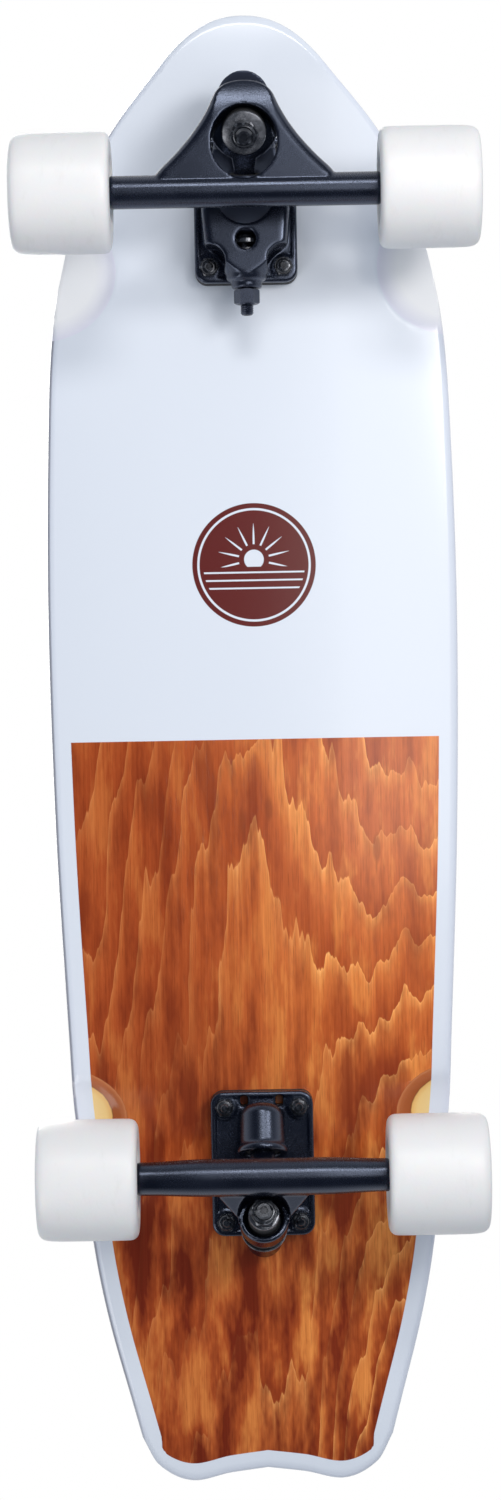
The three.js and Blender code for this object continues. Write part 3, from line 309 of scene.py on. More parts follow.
veneer = {
    "left": 106.0,
    "top": 6.0,
    "width": 212.0,
    "spacing": 31.0,
    # by the share of the panel's width from its left edge
    "dome": [(0.0, 0.0), (0.1, 0.12), (0.22, 0.42), (0.34, 0.86), (0.44, 1.0), (0.58, 1.0), (0.7, 0.8),
             (0.8, 0.62), (0.9, 0.62), (1.0, 0.5)],
    "pace": [(0.0, 0.5), (0.25, 0.45), (0.4, 0.24), (0.6, 0.26), (0.72, 0.6), (0.85, 0.95), (1.0, 1.0)],
    "marked": [(0.0, 0.55), (0.25, 0.5), (0.4, 0.55), (0.55, 0.8), (0.7, 1.0), (1.0, 1.0)],
    # across one flame, from its bright line to the next
    "flames": [
        (0.0, (0.72, 0.29, 0.095)),
        (0.045, (0.6, 0.195, 0.056)),
        (0.22, (0.46, 0.108, 0.027)),
        (0.55, (0.36, 0.064, 0.0145)),
        (0.92, (0.27, 0.038, 0.0085)),
        (0.985, (0.26, 0.036, 0.008)),
        (1.0, (0.5, 0.14, 0.04)),
    ],
    "calm": (0.41, 0.08, 0.0195, 1),
    "smoke": (0.14, 0.014, 0.005, 1),
    "glow": (0.6, 0.18, 0.044, 1),
    "streaks": ((1.22, 1.28, 1.3, 1), (0.84, 0.73, 0.67, 1)),
    "streaksShown": 0.8,
    "knot": (0.2, 0.035, 0.01, 1),
    "knotShown": 0.6,
    "knotWidth": 2.4,
    "knots": ((-7, -33, 7.5), (8, -40, 8.5), (-67, -56, 8)),
    "pore": (0.14, 0.024, 0.006, 1),
    "poreShown": 0.42,
    # the paler tone on the panel's right is partly lighter wood and partly a painted sheen
    "pale": (1.5, 1.85, 1.8, 1),
}


def makeFigureGroup():
    # stained rotary-cut veneer: upright lines to the left, a calm middle, jagged flames to the right
    tree, given, result = newGroup("flameFigure", [("Spacing", "NodeSocketFloat", veneer["spacing"])], [
        ("Colour", "NodeSocketColor"), ("Height", "NodeSocketFloat")])
    where = millimetres(tree)
    x, y = acrossAndAlong(tree, where)
    across = divide(tree, subtract(tree, veneer["left"], x), veneer["width"], clamp=True)
    down = divide(tree, subtract(tree, veneer["top"], y), given.outputs["Spacing"])

    def along(points):
        stops = [(share, (value, value, value)) for share, value in points]
        return colourRamp(tree, across, stops, "B_SPLINE")

    hills = stretchedNoise(tree, where, (0.021, 0.0055, 0.0), detail=2, roughness=0.4)
    teeth = stretchedNoise(tree, where, (0.085, 0.007, 0.0), detail=3, roughness=0.5)
    field = scaleAndAdd(tree, along(veneer["dome"]), 6.2, multiply(tree, down, along(veneer["pace"])))
    field = scaleAndAdd(tree, hills, 2.3, field)
    field = scaleAndAdd(tree, teeth, 1.5, field)
    flames = colourRamp(tree, calculate(tree, "FRACT", field), veneer["flames"])
    faint = rampMask(tree, stretchedNoise(tree, where, (0.018, 0.009, 0.0), detail=2), 0.38, 0.58)
    shown = multiply(tree, scaleAndAdd(tree, faint, 0.72, 0.28), along(veneer["marked"]))
    colour = mixColours(tree, shown, veneer["calm"], flames)

    # dark smoke and a warm glow between it, both stronger lower down
    smoke = stretchedNoise(tree, where, (0.055, 0.013, 0.0), detail=4, roughness=0.6)
    lower = rampMask(tree, y, -130.0, -270.0)
    dark = rampMask(tree, scaleAndAdd(tree, lower, 0.04, smoke), 0.5, 0.63)
    dark = multiply(tree, dark, scaleAndAdd(tree, lower, 0.42, 0.5))
    colour = mixColours(tree, dark, colour, veneer["smoke"])
    warm = rampMask(tree, smoke, 0.47, 0.37)
    warm = multiply(tree, warm, scaleAndAdd(tree, lower, 0.5, 0.45))
    colour = mixColours(tree, warm, colour, veneer["glow"])

    streaks = stretchedNoise(tree, where, (0.42, 0.006, 0.0), detail=5, roughness=0.7)
    lines = mixColours(tree, rampMask(tree, streaks, 0.36, 0.66), *veneer["streaks"])
    colour = mixColours(tree, veneer["streaksShown"], colour, lines, "MULTIPLY")
    knots = 0.0
    for knotX, knotY, high in veneer["knots"]:
        away = divide(tree, subtract(tree, x, knotX), veneer["knotWidth"])
        up = divide(tree, subtract(tree, y, knotY), high)
        reach = scaleAndAdd(tree, subtract(tree, streaks, 0.5), 1.2, spanOf(tree, away, up))
        knots = largest(tree, knots, rampMask(tree, reach, 1.1, 0.6))
    colour = mixColours(tree, multiply(tree, knots, veneer["knotShown"]), colour, veneer["knot"])
    pores = rampMask(tree, stretchedNoise(tree, where, (1.6, 0.05, 0.0), detail=2, roughness=0.7), 0.55, 0.7)
    colour = mixColours(tree, multiply(tree, pores, veneer["poreShown"]), colour, veneer["pore"])
    # lighter toward the panel's right and away from the tail: partly paler wood, partly a painted sheen
    paleWoodAndPaintedSheen = multiply(tree, rampMask(tree, across, 0.25, 0.65), rampMask(tree, y, -600.0, -130.0))
    colour = mixColours(tree, paleWoodAndPaintedSheen, colour, mixColours(tree, 1.0, colour, veneer["pale"], "MULTIPLY"))
    feed(tree, result, Colour=colour, Height=subtract(tree, streaks, pores))
    return tree


wearAndGlintGroup = makeWearGroup()
grainGroup = makeGrainGroup()
plyGroup = makePlyGroup()
figureGroup = makeFigureGroup()


# Materials

def coatedMetal(name, colour, worn, roughness, amount, grain, depth, specular, metallic=0.0,
                tint=(1, 1, 1, 1)):
    # powder coat or blackened steel: amount is how much the lighter edges show, as wear and on blackened
    # steel also as painted glints, grain its size and depth its height
    material, tree, shader = newMaterial(
        name, Metallic=metallic, Specular_IOR_Level=specular, Specular_Tint=tint)
    wear = useGroup(
        tree, wearAndGlintGroup, Colour=(*colour, 1), Worn=(*worn, 1), Amount=amount, Roughness=roughness)
    fine = useGroup(tree, grainGroup, Size=grain)
    feed(tree, shader, Base_Color=wear.outputs["Colour"],
         Roughness=scaleAndAdd(tree, fine.outputs["Mask"], 0.06, wear.outputs["Roughness"]))
    addBump(tree, shader, fine.outputs["Height"], depth, 0.5)
    return material


emblem = {
    "x": -1.3,
    "y": 103.5,
    "radius": 34.5,
    "edge": 0.15,
    "ringInset": 3.4,
    "sunRise": 3.0,
    "sun": 5.5,
    "rays": 14,
    "rayShare": 0.15,
    "lines": (-7.2, -11.6, -16.0),
    "lineInset": 6.0,
    "brown": (0.125, 0.018, 0.017, 1),
}


def emblemColour(tree, acrossBoard, alongBoard, under):
    # a plain brown disc with a small sun over three level lines
    radius, edge, sun = emblem["radius"], emblem["edge"], emblem["sun"]
    x = subtract(tree, acrossBoard, emblem["x"])
    y = subtract(tree, alongBoard, emblem["y"])
    distance = spanOf(tree, x, y)
    disc = rampMask(tree, distance, radius + edge, radius - edge)
    ring = rampMask(tree, awayFrom(tree, distance, radius - emblem["ringInset"]), 0.75, 0.5)
    above = subtract(tree, y, emblem["sunRise"])
    far = spanOf(tree, x, above)
    ball = rampMask(tree, far, sun + edge, sun - edge)
    turn = divide(tree, calculate(tree, "ARCTAN2", above, x), 2 * math.pi)
    beat = awayFrom(tree, calculate(tree, "FRACT", multiply(tree, turn, emblem["rays"])), 0.5)
    taper = multiply(tree, rampMask(tree, far, 21.0, 8.0), emblem["rayShare"])
    wedge = rampMask(tree, subtract(tree, taper, beat), -0.01, 0.02)
    reach = multiply(tree, rampMask(tree, far, 8.4, 8.7), rampMask(tree, far, 20.3, 20.0))
    sky = rampMask(tree, above, -4.2, -3.9)
    pale = largest(tree, multiply(tree, ball, sky), multiply(tree, wedge, reach, sky), ring)
    inside = rampMask(tree, distance, radius - emblem["lineInset"], radius - emblem["lineInset"] - 2 * edge)
    for level in emblem["lines"]:
        line = rampMask(tree, awayFrom(tree, above, level), 0.6, 0.35)
        pale = largest(tree, pale, multiply(tree, line, inside))
    printed = multiply(tree, disc, subtract(tree, 1.0, pale, clamp=True))
    return mixColours(tree, printed, under, emblem["brown"])


paint = {
    "white": ((0.735, 0.79, 0.9, 1), (0.765, 0.815, 0.91, 1)),
    # the lilac toward the rounded rail is painted shade, and so is the dark line along the rail on the +X
    # side
    "edge": (0.62, 0.64, 0.83, 1),
    "shade": (0.16, 0.165, 0.23, 1),
    # the whiter colour in the front wells is painted light against the wheels' shadow, the lilac at their rim
    # painted shade
    "paintedWellLight": (0.97, 0.975, 1.0, 1),
    "paintedWellRimShade": (0.7, 0.71, 0.88, 1),
    # where the stained panel starts, from the deck's edge and along Y
    "panelInset": (10.9, 11.2),
    "panelTop": (6.2, 5.9),
    # the layers that the sanding lays bare, from outside a well to its middle
    "sanded": [
        (0.0, (0.24, 0.045, 0.012)),
        (0.05, (0.27, 0.055, 0.014)),
        (0.08, (0.56, 0.2, 0.075)),
        (0.16, (0.46, 0.13, 0.04)),
        (0.42, (0.4, 0.105, 0.032)),
        (0.445, (0.27, 0.08, 0.025)),
        (0.475, (0.86, 0.5, 0.16)),
        (0.6, (0.9, 0.62, 0.25)),
        (1.0, (0.88, 0.66, 0.33)),
    ],
}


def paintedBoard():
    # white paint with painted shade at the rail and painted light and shade in the front wells, the stained
    # panel, the sanded wells and the bare rail, all by where they are on the deck
    material, tree, shader = newMaterial("deckFinish", IOR=1.5, Specular_IOR_Level=0.42)
    where = millimetres(tree)
    x, y = acrossAndAlong(tree, where)
    height = attributeValue(tree, "overUnderside")
    fromEdge = attributeValue(tree, "fromEdge")
    well = attributeValue(tree, "wellShare")
    figure = useGroup(tree, figureGroup)
    ply = useGroup(tree, plyGroup, Height=height)

    white = mixColours(tree, stretchedNoise(tree, where, (0.006, 0.003, 0.01), detail=2), *paint["white"])
    # painted shade: lilac toward the rounded rail all round, and a dark line along the rail on the +X side
    white = mixColours(tree, multiply(tree, rampMask(tree, fromEdge, 5.0, -1.0), 0.3), white, paint["edge"])
    paintedRailShade = multiply(tree, rampMask(tree, fromEdge, 2.1, 1.2), rampMask(tree, x, 60.0, 80.0), 0.75)
    white = mixColours(tree, paintedRailShade, white, paint["shade"])
    # painted light in the front wells against the wheels' shadow, and painted shade at their rim
    paintedWellLight = multiply(tree, rampMask(tree, well, -0.005, 0.005), rampMask(tree, y, 0.0, 1.0))
    white = mixColours(tree, multiply(tree, paintedWellLight, 0.9), white, paint["paintedWellLight"])
    rim = multiply(tree, rampMask(tree, well, 0.5, 0.0), 0.75)
    white = mixColours(tree, multiply(tree, paintedWellLight, rim), white, paint["paintedWellRimShade"])

    streak = stretchedNoise(tree, where, (0.3, 0.03, 0.0), detail=2)
    level = scaleAndAdd(tree, subtract(tree, streak, 0.5), 0.04, well)
    bands = colourRamp(tree, calculate(tree, "ADD", level, 0.2), paint["sanded"])
    stained = mixColours(tree, rampMask(tree, level, -0.15, -0.13), figure.outputs["Colour"], bands)
    panel = rampMask(tree, fromEdge, *paint["panelInset"])
    panel = multiply(tree, panel, rampMask(tree, y, *paint["panelTop"]))
    painted = emblemColour(tree, x, y, mixColours(tree, panel, white, stained))

    wavering = stretchedNoise(tree, where, (0.05, 0.05, 0.0), detail=2)
    bareRail = rampMask(tree, scaleAndAdd(tree, wavering, 0.5, height), 5.7, 5.95)
    smear = stretchedNoise(tree, where, (0.02, 0.012, 0.02), detail=5, roughness=0.6)
    gloss = scaleAndAdd(tree, smear, 0.05, 0.13)
    bare = rampMask(tree, height, 5.4, 5.7)
    inputs = {0: bare, 2: gloss, 3: ply.outputs["Roughness"]}
    rough = addNode(tree, "ShaderNodeMix", inputs, data_type="FLOAT")
    feed(tree, shader, Base_Color=mixColours(tree, bareRail, painted, ply.outputs["Colour"]),
         Roughness=rough.outputs[0])
    peel = multiply(tree, stretchedNoise(tree, where, 0.4, detail=2), 0.35)
    relief = scaleAndAdd(tree, multiply(tree, panel, figure.outputs["Height"]), 0.3, peel)
    addBump(tree, shader, relief, 0.00007, 0.5)
    return material


def gritFinish():
    material, tree, shader = newMaterial("gripGrit", Specular_IOR_Level=0.35)
    grit = useGroup(tree, grainGroup, Size=0.55, Contrast=1.4)
    tread = stretchedNoise(tree, millimetres(tree), (0.012, 0.008, 0.0), detail=4, roughness=0.6)
    sparkle = rampMask(tree, grit.outputs["Height"], 0.25, 0.45)
    colour = mixColours(tree, tread, (0.011, 0.011, 0.012, 1), (0.026, 0.025, 0.025, 1))
    feed(tree, shader, Base_Color=mixColours(tree, sparkle, colour, (0.12, 0.12, 0.125, 1)),
         Roughness=scaleAndAdd(tree, sparkle, -0.3, 0.92))
    addBump(tree, shader, grit.outputs["Height"], 0.0004, 0.9)
    return material


def urethaneFinish():
    material, tree, shader = newMaterial(
        "wheelUrethane", IOR=1.47, Subsurface_Weight=0.12, Subsurface_Scale=0.004)
    where = millimetres(tree)
    cloud = stretchedNoise(tree, where, (0.02, 0.03, 0.03), detail=3)
    scuff = stretchedNoise(tree, where, (0.16, 0.05, 0.05), detail=6, roughness=0.7)
    scuff = multiply(tree, rampMask(tree, scuff, 0.56, 0.8), 0.2)
    colour = mixColours(tree, cloud, (0.82, 0.82, 0.84, 1), (0.87, 0.87, 0.885, 1))
    feed(tree, shader, Base_Color=mixColours(tree, scuff, colour, (0.6, 0.59, 0.57, 1)),
         Roughness=calculate(tree, "ADD", scuff, 0.4))
    addBump(tree, shader, useGroup(tree, grainGroup, Size=1.4).outputs["Height"], 0.00005, 0.4)
    return material


def bareSteel(name, colour, roughness, rates):
    # drawn or turned steel, whose fine lines follow the rates of their noise
    material, tree, shader = newMaterial(name, Metallic=1.0)
    worn = (0.75, 0.75, 0.75, 1)
    wear = useGroup(tree, wearAndGlintGroup, Colour=(*colour, 1), Worn=worn, Amount=0.4, Roughness=roughness)
    lines = stretchedNoise(tree, millimetres(tree), rates, detail=3)
    lined = mixColours(tree, multiply(tree, lines, 0.3), wear.outputs["Colour"], (0.16, 0.16, 0.17, 1))
    feed(tree, shader, Base_Color=lined, Roughness=scaleAndAdd(tree, lines, 0.16, wear.outputs["Roughness"]))
    addBump(tree, shader, lines, 0.00003, 0.35)
    return material


def softRubber(name, colour, grain):
    material, tree, shader = newMaterial(name, Specular_IOR_Level=0.4)
    fine = useGroup(tree, grainGroup, Size=grain)
    bloom = multiply(tree, stretchedNoise(tree, millimetres(tree), 0.06, detail=4), 0.5)
    light = tuple(channel * 2.4 + 0.01 for channel in colour)
    feed(tree, shader, Base_Color=mixColours(tree, bloom, (*colour, 1), (*light, 1)),
         Roughness=scaleAndAdd(tree, fine.outputs["Mask"], 0.12, 0.52))
    addBump(tree, shader, fine.outputs["Height"], 0.00008, 0.5)
    return material


deckFinish = paintedBoard()
gripGrit = gritFinish()
wheelUrethane = urethaneFinish()
casting = coatedMetal("castingCoat", (0.003, 0.0042, 0.0095), (0.02, 0.024, 0.036), roughness=0.2,
                      amount=0.25, grain=0.5, depth=0.00004, specular=0.9, tint=(0.6, 0.71, 1.0, 1))
# the arm wears a lighter copy of the casting's coat: painted light that lifts its nose out of the hanger's
# shadow
armCoatPaintedLight = coatedMetal("armCoatPaintedLight", (0.022, 0.026, 0.043), (0.03, 0.035, 0.05), roughness=0.3, amount=0.25,
                      grain=0.5, depth=0.00004, specular=0.8, tint=(0.58, 0.7, 1.0, 1))
# the light worn edges of blackened steel and washer steel are partly wear and partly painted glints on their
# rims
blackSteel = coatedMetal("blackSteel", (0.018, 0.021, 0.03), (0.4, 0.44, 0.52), roughness=0.13, amount=0.36,
                         grain=0.35, depth=0.00001, specular=0.9, metallic=0.6)
washerSteel = coatedMetal("washerSteel", (0.085, 0.092, 0.112), (0.5, 0.52, 0.58), roughness=0.2, amount=0.6,
                          grain=0.4, depth=0.00002, specular=0.9, metallic=0.6)
zincSteel = bareSteel("zincSteel", (0.56, 0.56, 0.58), 0.24, (0.4, 0.4, 4.0))
axleSteel = bareSteel("axleSteel", (0.52, 0.52, 0.54), 0.26, (4.0, 0.3, 0.3))
bushingRubber = softRubber("bushingRubber", (0.018, 0.018, 0.02), 0.5)
riserRubber = softRubber("riserRubber", (0.014, 0.014, 0.015), 0.9)
cupPlastic = softRubber("cupPlastic", (0.02, 0.02, 0.021), 0.7)
shieldBlack = softRubber("shieldBlack", (0.012, 0.012, 0.013), 0.3)
print("materials made")


# Shape helpers: each gives a bmesh in millimetres

upAxis = (0, 0, 1)
tailAxis = (0, -1, 0)
sideAxis = (1, 0, 0)
plateMiddle = (0, 0, 0)
overrun = 2     # how far a cutting shape goes past what it cuts


def spun(profile, origin, direction, steps=48):
    # profile is (radius, distance) pairs. Without its ends on the axis it closes into a ring.
    shape = bmesh.new()
    verts = [shape.verts.new((radius, 0, distance)) for radius, distance in profile]
    edges = [shape.edges.new(pair) for pair in zip(verts, verts[1:])]
    if profile[0][0] > 0 or profile[-1][0] > 0:
        edges.append(shape.edges.new((verts[-1], verts[0])))
    bmesh.ops.spin(shape, geom=verts + edges, cent=(0, 0, 0), axis=upAxis, angle=2 * math.pi,
                   steps=steps, use_merge=True)
    bmesh.ops.remove_doubles(shape, verts=shape.verts, dist=0.0005)
    bmesh.ops.dissolve_degenerate(shape, edges=shape.edges, dist=0.0001)
    bmesh.ops.recalc_face_normals(shape, faces=shape.faces)
    turn = Vector(upAxis).rotation_difference(Vector(direction)).to_matrix().to_4x4()
    bmesh.ops.transform(shape, matrix=Matrix.Translation(Vector(origin)) @ turn, verts=shape.verts)
    return shape


def bar(radius, start, end, origin=plateMiddle, direction=upAxis, steps=48):
    return spun([(0, start), (radius, start), (radius, end), (0, end)], origin, direction, steps)


def raised(points, start, end, origin=plateMiddle, direction=upAxis, rounding=0.0):
    # points are an outline in the plane across direction, drawn out along it
    direction = Vector(direction)
    across = Vector((0, 1, 0)) if abs(direction.x) > 0.5 else Vector((1, 0, 0))
    along = direction.cross(across)
    shape = bmesh.new()
    verts = [shape.verts.new(Vector(origin) + across * x + along * y + direction * start) for x, y in points]
    grown = bmesh.ops.extrude_face_region(shape, geom=[shape.faces.new(verts)])
    moved = [item for item in grown["geom"] if isinstance(item, bmesh.types.BMVert)]
    bmesh.ops.translate(shape, vec=direction * (end - start), verts=moved)
    bmesh.ops.recalc_face_normals(shape, faces=shape.faces)
    if rounding:
        rims = [edge for edge in shape.edges if edge.calc_face_angle(0) > 0.7]
        bmesh.ops.bevel(
            shape, geom=rims, offset=rounding, affect="EDGES", segments=3, profile=0.5, material=-1)
    return shape


def sideRaised(points, halfWidth):
    # points are an outline from the side, as (y, z), drawn out across the board
    shape = bmesh.new()
    verts = [shape.verts.new((-halfWidth, y, z)) for y, z in points]
    grown = bmesh.ops.extrude_face_region(shape, geom=[shape.faces.new(verts)])
    moved = [item for item in grown["geom"] if isinstance(item, bmesh.types.BMVert)]
    bmesh.ops.translate(shape, vec=(2 * halfWidth, 0, 0), verts=moved)
    bmesh.ops.recalc_face_normals(shape, faces=shape.faces)
    return shape


def arc(x, y, radius, start, end, steps=10):
    turns = [math.radians(start + (end - start) * i / steps) for i in range(steps + 1)]
    return [(x + radius * math.cos(turn), y + radius * math.sin(turn)) for turn in turns]


def roundedRectangle(width, length, radius):
    x, y = width / 2 - radius, length / 2 - radius
    points = []
    for quarter, (right, front) in enumerate(((1, 1), (-1, 1), (-1, -1), (1, -1))):
        points += arc(right * x, front * y, radius, quarter * 90, quarter * 90 + 90)
    return points


def rectangle(halfWidth, halfLength):
    x, y = halfWidth, halfLength
    return [(-x, -y), (x, -y), (x, y), (-x, y)]


def hexagonCorner(flats):
    return flats / 2 / math.cos(math.pi / 6)


def oval(halfWidth, halfLength, y, steps=56):
    turns = [2 * math.pi * i / steps for i in range(steps)]
    return [(halfWidth * math.cos(turn), y + halfLength * math.sin(turn)) for turn in turns]


def hexagon(flats):
    corner = hexagonCorner(flats)
    return [(corner * math.cos(i * math.pi / 3), corner * math.sin(i * math.pi / 3)) for i in range(6)]


def mirrored(side):
    # an outline's right half, then its left half
    return side + [(-x, y) for x, y in reversed(side)]


def curvePoints(start, control, end, steps=10):
    points = []
    for i in range(1, steps + 1):
        t = i / steps
        first, second, third = (1 - t) ** 2, 2 * t * (1 - t), t * t
        points.append(tuple(first * a + second * b + third * c for a, b, c in zip(start, control, end)))
    return points


def shapeFrom(item):
    # the shape of an object, which is then removed
    shape = bmesh.new()
    shape.from_mesh(item.data)
    bpy.data.objects.remove(item)
    return shape


def joinInto(item, other):
    # both become one piece of two shells
    shape = bmesh.new()
    shape.from_mesh(item.data)
    shape.from_mesh(other.data)
    shape.to_mesh(item.data)
    shape.free()
    bpy.data.objects.remove(other)


def objectFrom(shape, name):
    mesh = bpy.data.meshes.new(name)
    shape.to_mesh(mesh)
    shape.free()
    item = bpy.data.objects.new(name, mesh)
    bpy.context.scene.collection.objects.link(item)
    return item


def applyModifiers(item):
    bpy.context.view_layer.update()
    found = item.evaluated_get(bpy.context.evaluated_depsgraph_get())
    mesh = bpy.data.meshes.new_from_object(found)
    old = item.data
    item.modifiers.clear()
    item.data = mesh
    bpy.data.meshes.remove(old)


def combine(item, operation, shapes):
    others = [objectFrom(shape, "tool") for shape in shapes]
    for other in others:
        step = item.modifiers.new("combine", "BOOLEAN")
        step.operation = operation
        step.solver = "MANIFOLD"
        step.object = other
    applyModifiers(item)
    for other in others:
        bpy.data.objects.remove(other)
    return item


def softened(item, voxel, passes):
    # one closed skin with the small fillets of a casting
    remesh = item.modifiers.new("remesh", "REMESH")
    remesh.mode = "VOXEL"
    remesh.voxel_size = voxel
    smooth = item.modifiers.new("smooth", "SMOOTH")
    smooth.factor = 0.5
    smooth.iterations = passes
    applyModifiers(item)
    return item


def settle(item, offset=(0, 0, 0), sharp=35):
    # to metres, in the frame, with smooth faces between sharp edges
    item.data.transform(Matrix.Diagonal((0.001, 0.001, 0.001, 1)) @ Matrix.Translation(Vector(offset)))
    item.data.polygons.foreach_set("use_smooth", [True] * len(item.data.polygons))
    if sharp:
        item.data.set_sharp_from_angle(angle=math.radians(sharp))
    item.data.update()
    return item


def place(item, nodes, slot, *materials, between=None):
    # the piece stands for its CAD nodes and rides on their body, or with between stays where it is in the
    # frame, on no body
    item.data.materials.clear()
    for material in materials:
        item.data.materials.append(material)
    if between:
        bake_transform(item)
    else:
        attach(item, bodyOf[nodes[0]])
    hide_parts(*nodes)
    return item


# Deck and grip tape

outline = {
    "noseRound": 29,
    "noseRoundPower": 2.2,
    "tailRound": 26,
    "shares": [0, 0.049, 0.092, 0.139, 0.184, 0.243, 0.39, 0.556, 0.712, 0.76, 0.861, 0.913, 0.973, 1],
    "halfWidths": [0.411, 0.66, 0.8, 0.888, 0.948, 0.978, 1, 0.981, 0.933, 0.914, 0.828, 0.762, 0.66, 0.615],
    "tailShares": [0, 0.3, 0.62, 0.88, 1],
    "tailDepths": [0.73, 0.84, 1, 0.62, 0],
    "columnSpread": 0.85,
    "railPower": 2.4,
}

bend = {"flatHalf": 45, "concave": 5, "kickLength": 133, "kick": 18, "noseLength": 60, "nose": 4}
wells = {
    "front": {"y": 269, "halfLength": 38, "innerX": 73},
    "rear": {"y": -204, "halfLength": 27, "innerX": 78},
    "halfWidth": 40,
    "depth": 8,
}


def smoothTable(places, values, at):
    last = len(places) - 1
    slopes = []
    for i in range(last + 1):
        before, after = max(i - 1, 0), min(i + 1, last)
        slopes.append((values[after] - values[before]) / (places[after] - places[before]))
    i = 0
    while i < last - 1 and at > places[i + 1]:
        i += 1
    span = places[i + 1] - places[i]
    t = (at - places[i]) / span
    return ((2 * t**3 - 3 * t**2 + 1) * values[i] + (t**3 - 2 * t**2 + t) * span * slopes[i]
            + (3 * t**2 - 2 * t**3) * values[i + 1] + (t**3 - t**2) * span * slopes[i + 1])


def halfWidthAt(share):
    return smoothTable(outline["shares"], outline["halfWidths"], share) * board["width"] / 2


def riseAt(x, fromNose):
    side = max(abs(x) - bend["flatHalf"], 0) / (board["width"] / 2 - bend["flatHalf"])
    kick = max(fromNose - (board["length"] - bend["kickLength"]), 0) / bend["kickLength"]
    nose = max(bend["noseLength"] - fromNose, 0) / bend["noseLength"]
    return bend["concave"] * side**2 + bend["kick"] * kick**2 + bend["nose"] * nose**2


straightLength = board["length"] - outline["noseRound"] - outline["tailRound"]


def tailDepthAt(across):
    return smoothTable(outline["tailShares"], outline["tailDepths"], across)


def boardPoint(along, across, inset):
    fromNose = outline["noseRound"] + along * straightLength
    x = across * (halfWidthAt(along) - inset)
    noseBow = outline["noseRound"] * (abs(across) ** outline["noseRoundPower"] - 1) + inset
    tailBow = outline["tailRound"] * tailDepthAt(abs(across)) - inset
    return x, fromNose + noseBow * (1 - along) ** 3 + tailBow * along**3


def boardPlace(along, across, inset, height):
    x, fromNose = boardPoint(along, across, inset)
    return x, board["length"] / 2 - fromNose, board["underZ"] + height + riseAt(x, fromNose)


def wellAt(x, y):
    # how far inside the nearer well: 1 at its middle, 0 at its rim, below 0 outside
    share = -9.0
    for well in (wells["front"], wells["rear"]):
        aside = (abs(x) - well["innerX"] - wells["halfWidth"]) / wells["halfWidth"]
        ahead = (y - well["y"]) / well["halfLength"]
        share = max(share, 1 - aside**2 - ahead**2)
    return share


def boardShape(inset, bottom, top, bulge, columns, rows, railCuts):
    # two grids laid over the outline, joined by a rounded rail
    shape = bmesh.new()
    alongLayer = shape.verts.layers.float.new("along")
    acrossLayer = shape.verts.layers.float.new("across")
    levelLayer = shape.verts.layers.float.new("level")
    rims = []
    for level, height in ((0.0, bottom), (1.0, top)):
        made = bmesh.ops.create_grid(shape, x_segments=columns, y_segments=rows, size=1)
        for vert in made["verts"]:
            vert[alongLayer] = (1 - vert.co.y) / 2
            vert[acrossLayer] = math.copysign(abs(vert.co.x) ** outline["columnSpread"], vert.co.x)
            vert[levelLayer] = level
            vert.co = boardPlace(vert[alongLayer], vert[acrossLayer], inset, height)
        faces = {face for vert in made["verts"] for face in vert.link_faces}
        rims += [edge for face in faces for edge in face.edges if edge.is_boundary]
        if level == 0.0:
            bmesh.ops.reverse_faces(shape, faces=list(faces))
    before = set(shape.edges)
    bmesh.ops.bridge_loops(shape, edges=list(set(rims)))
    posts = [edge for edge in shape.edges if edge not in before]
    bmesh.ops.subdivide_edges(shape, edges=posts, cuts=railCuts, use_grid_fill=False)
    for vert in shape.verts:
        level = vert[levelLayer]
        if 0.001 < level < 0.999:
            out = bulge * math.sqrt(max(1 - abs(2 * level - 1) ** outline["railPower"], 0))
            height = bottom + (top - bottom) * level
            vert.co = boardPlace(vert[alongLayer], vert[acrossLayer], inset - out, height)
    bmesh.ops.recalc_face_normals(shape, faces=shape.faces)
    return shape


boltSpacing = {"x": 41.3, "y": 63.5}


def boltPlaces(plateY=0):
    places = []
    for x in (-1, 1):
        for y in (-1, 1):
            places.append((x * boltSpacing["x"] / 2, plateY + y * boltSpacing["y"] / 2, 0))
    return places


deckBolts = boltPlaces(board["frontPlateY"]) + boltPlaces(board["rearPlateY"])


def markDeck(mesh):
    # what the finish reads at each point of the deck
    values = {"overUnderside": [], "fromEdge": [], "wellShare": []}
    for vert in mesh.vertices:
        x, y, z = vert.co
        fromNose = board["length"] / 2 - y
        along = min(max((fromNose - outline["noseRound"]) / straightLength, 0), 1)
        across = min(abs(x) / halfWidthAt(1), 1)
        tail = board["length"] - outline["tailRound"] * (1 - tailDepthAt(across))
        values["overUnderside"].append(z - (board["underZ"] + riseAt(x, fromNose)))
        values["fromEdge"].append(min(halfWidthAt(along) - abs(x), tail - fromNose))
        values["wellShare"].append(wellAt(x, y))
    for name, found in values.items():
        mesh.attributes.new(name, "FLOAT", "POINT").data.foreach_set("value", found)


deckShape = {"columns": 84, "rows": 230, "railInset": 2.5, "railCuts": 7, "headRadius": 5.0,
             "sinkDepth": 3.1, "holeRadius": 2.75, "wellLimitShare": 0.6}


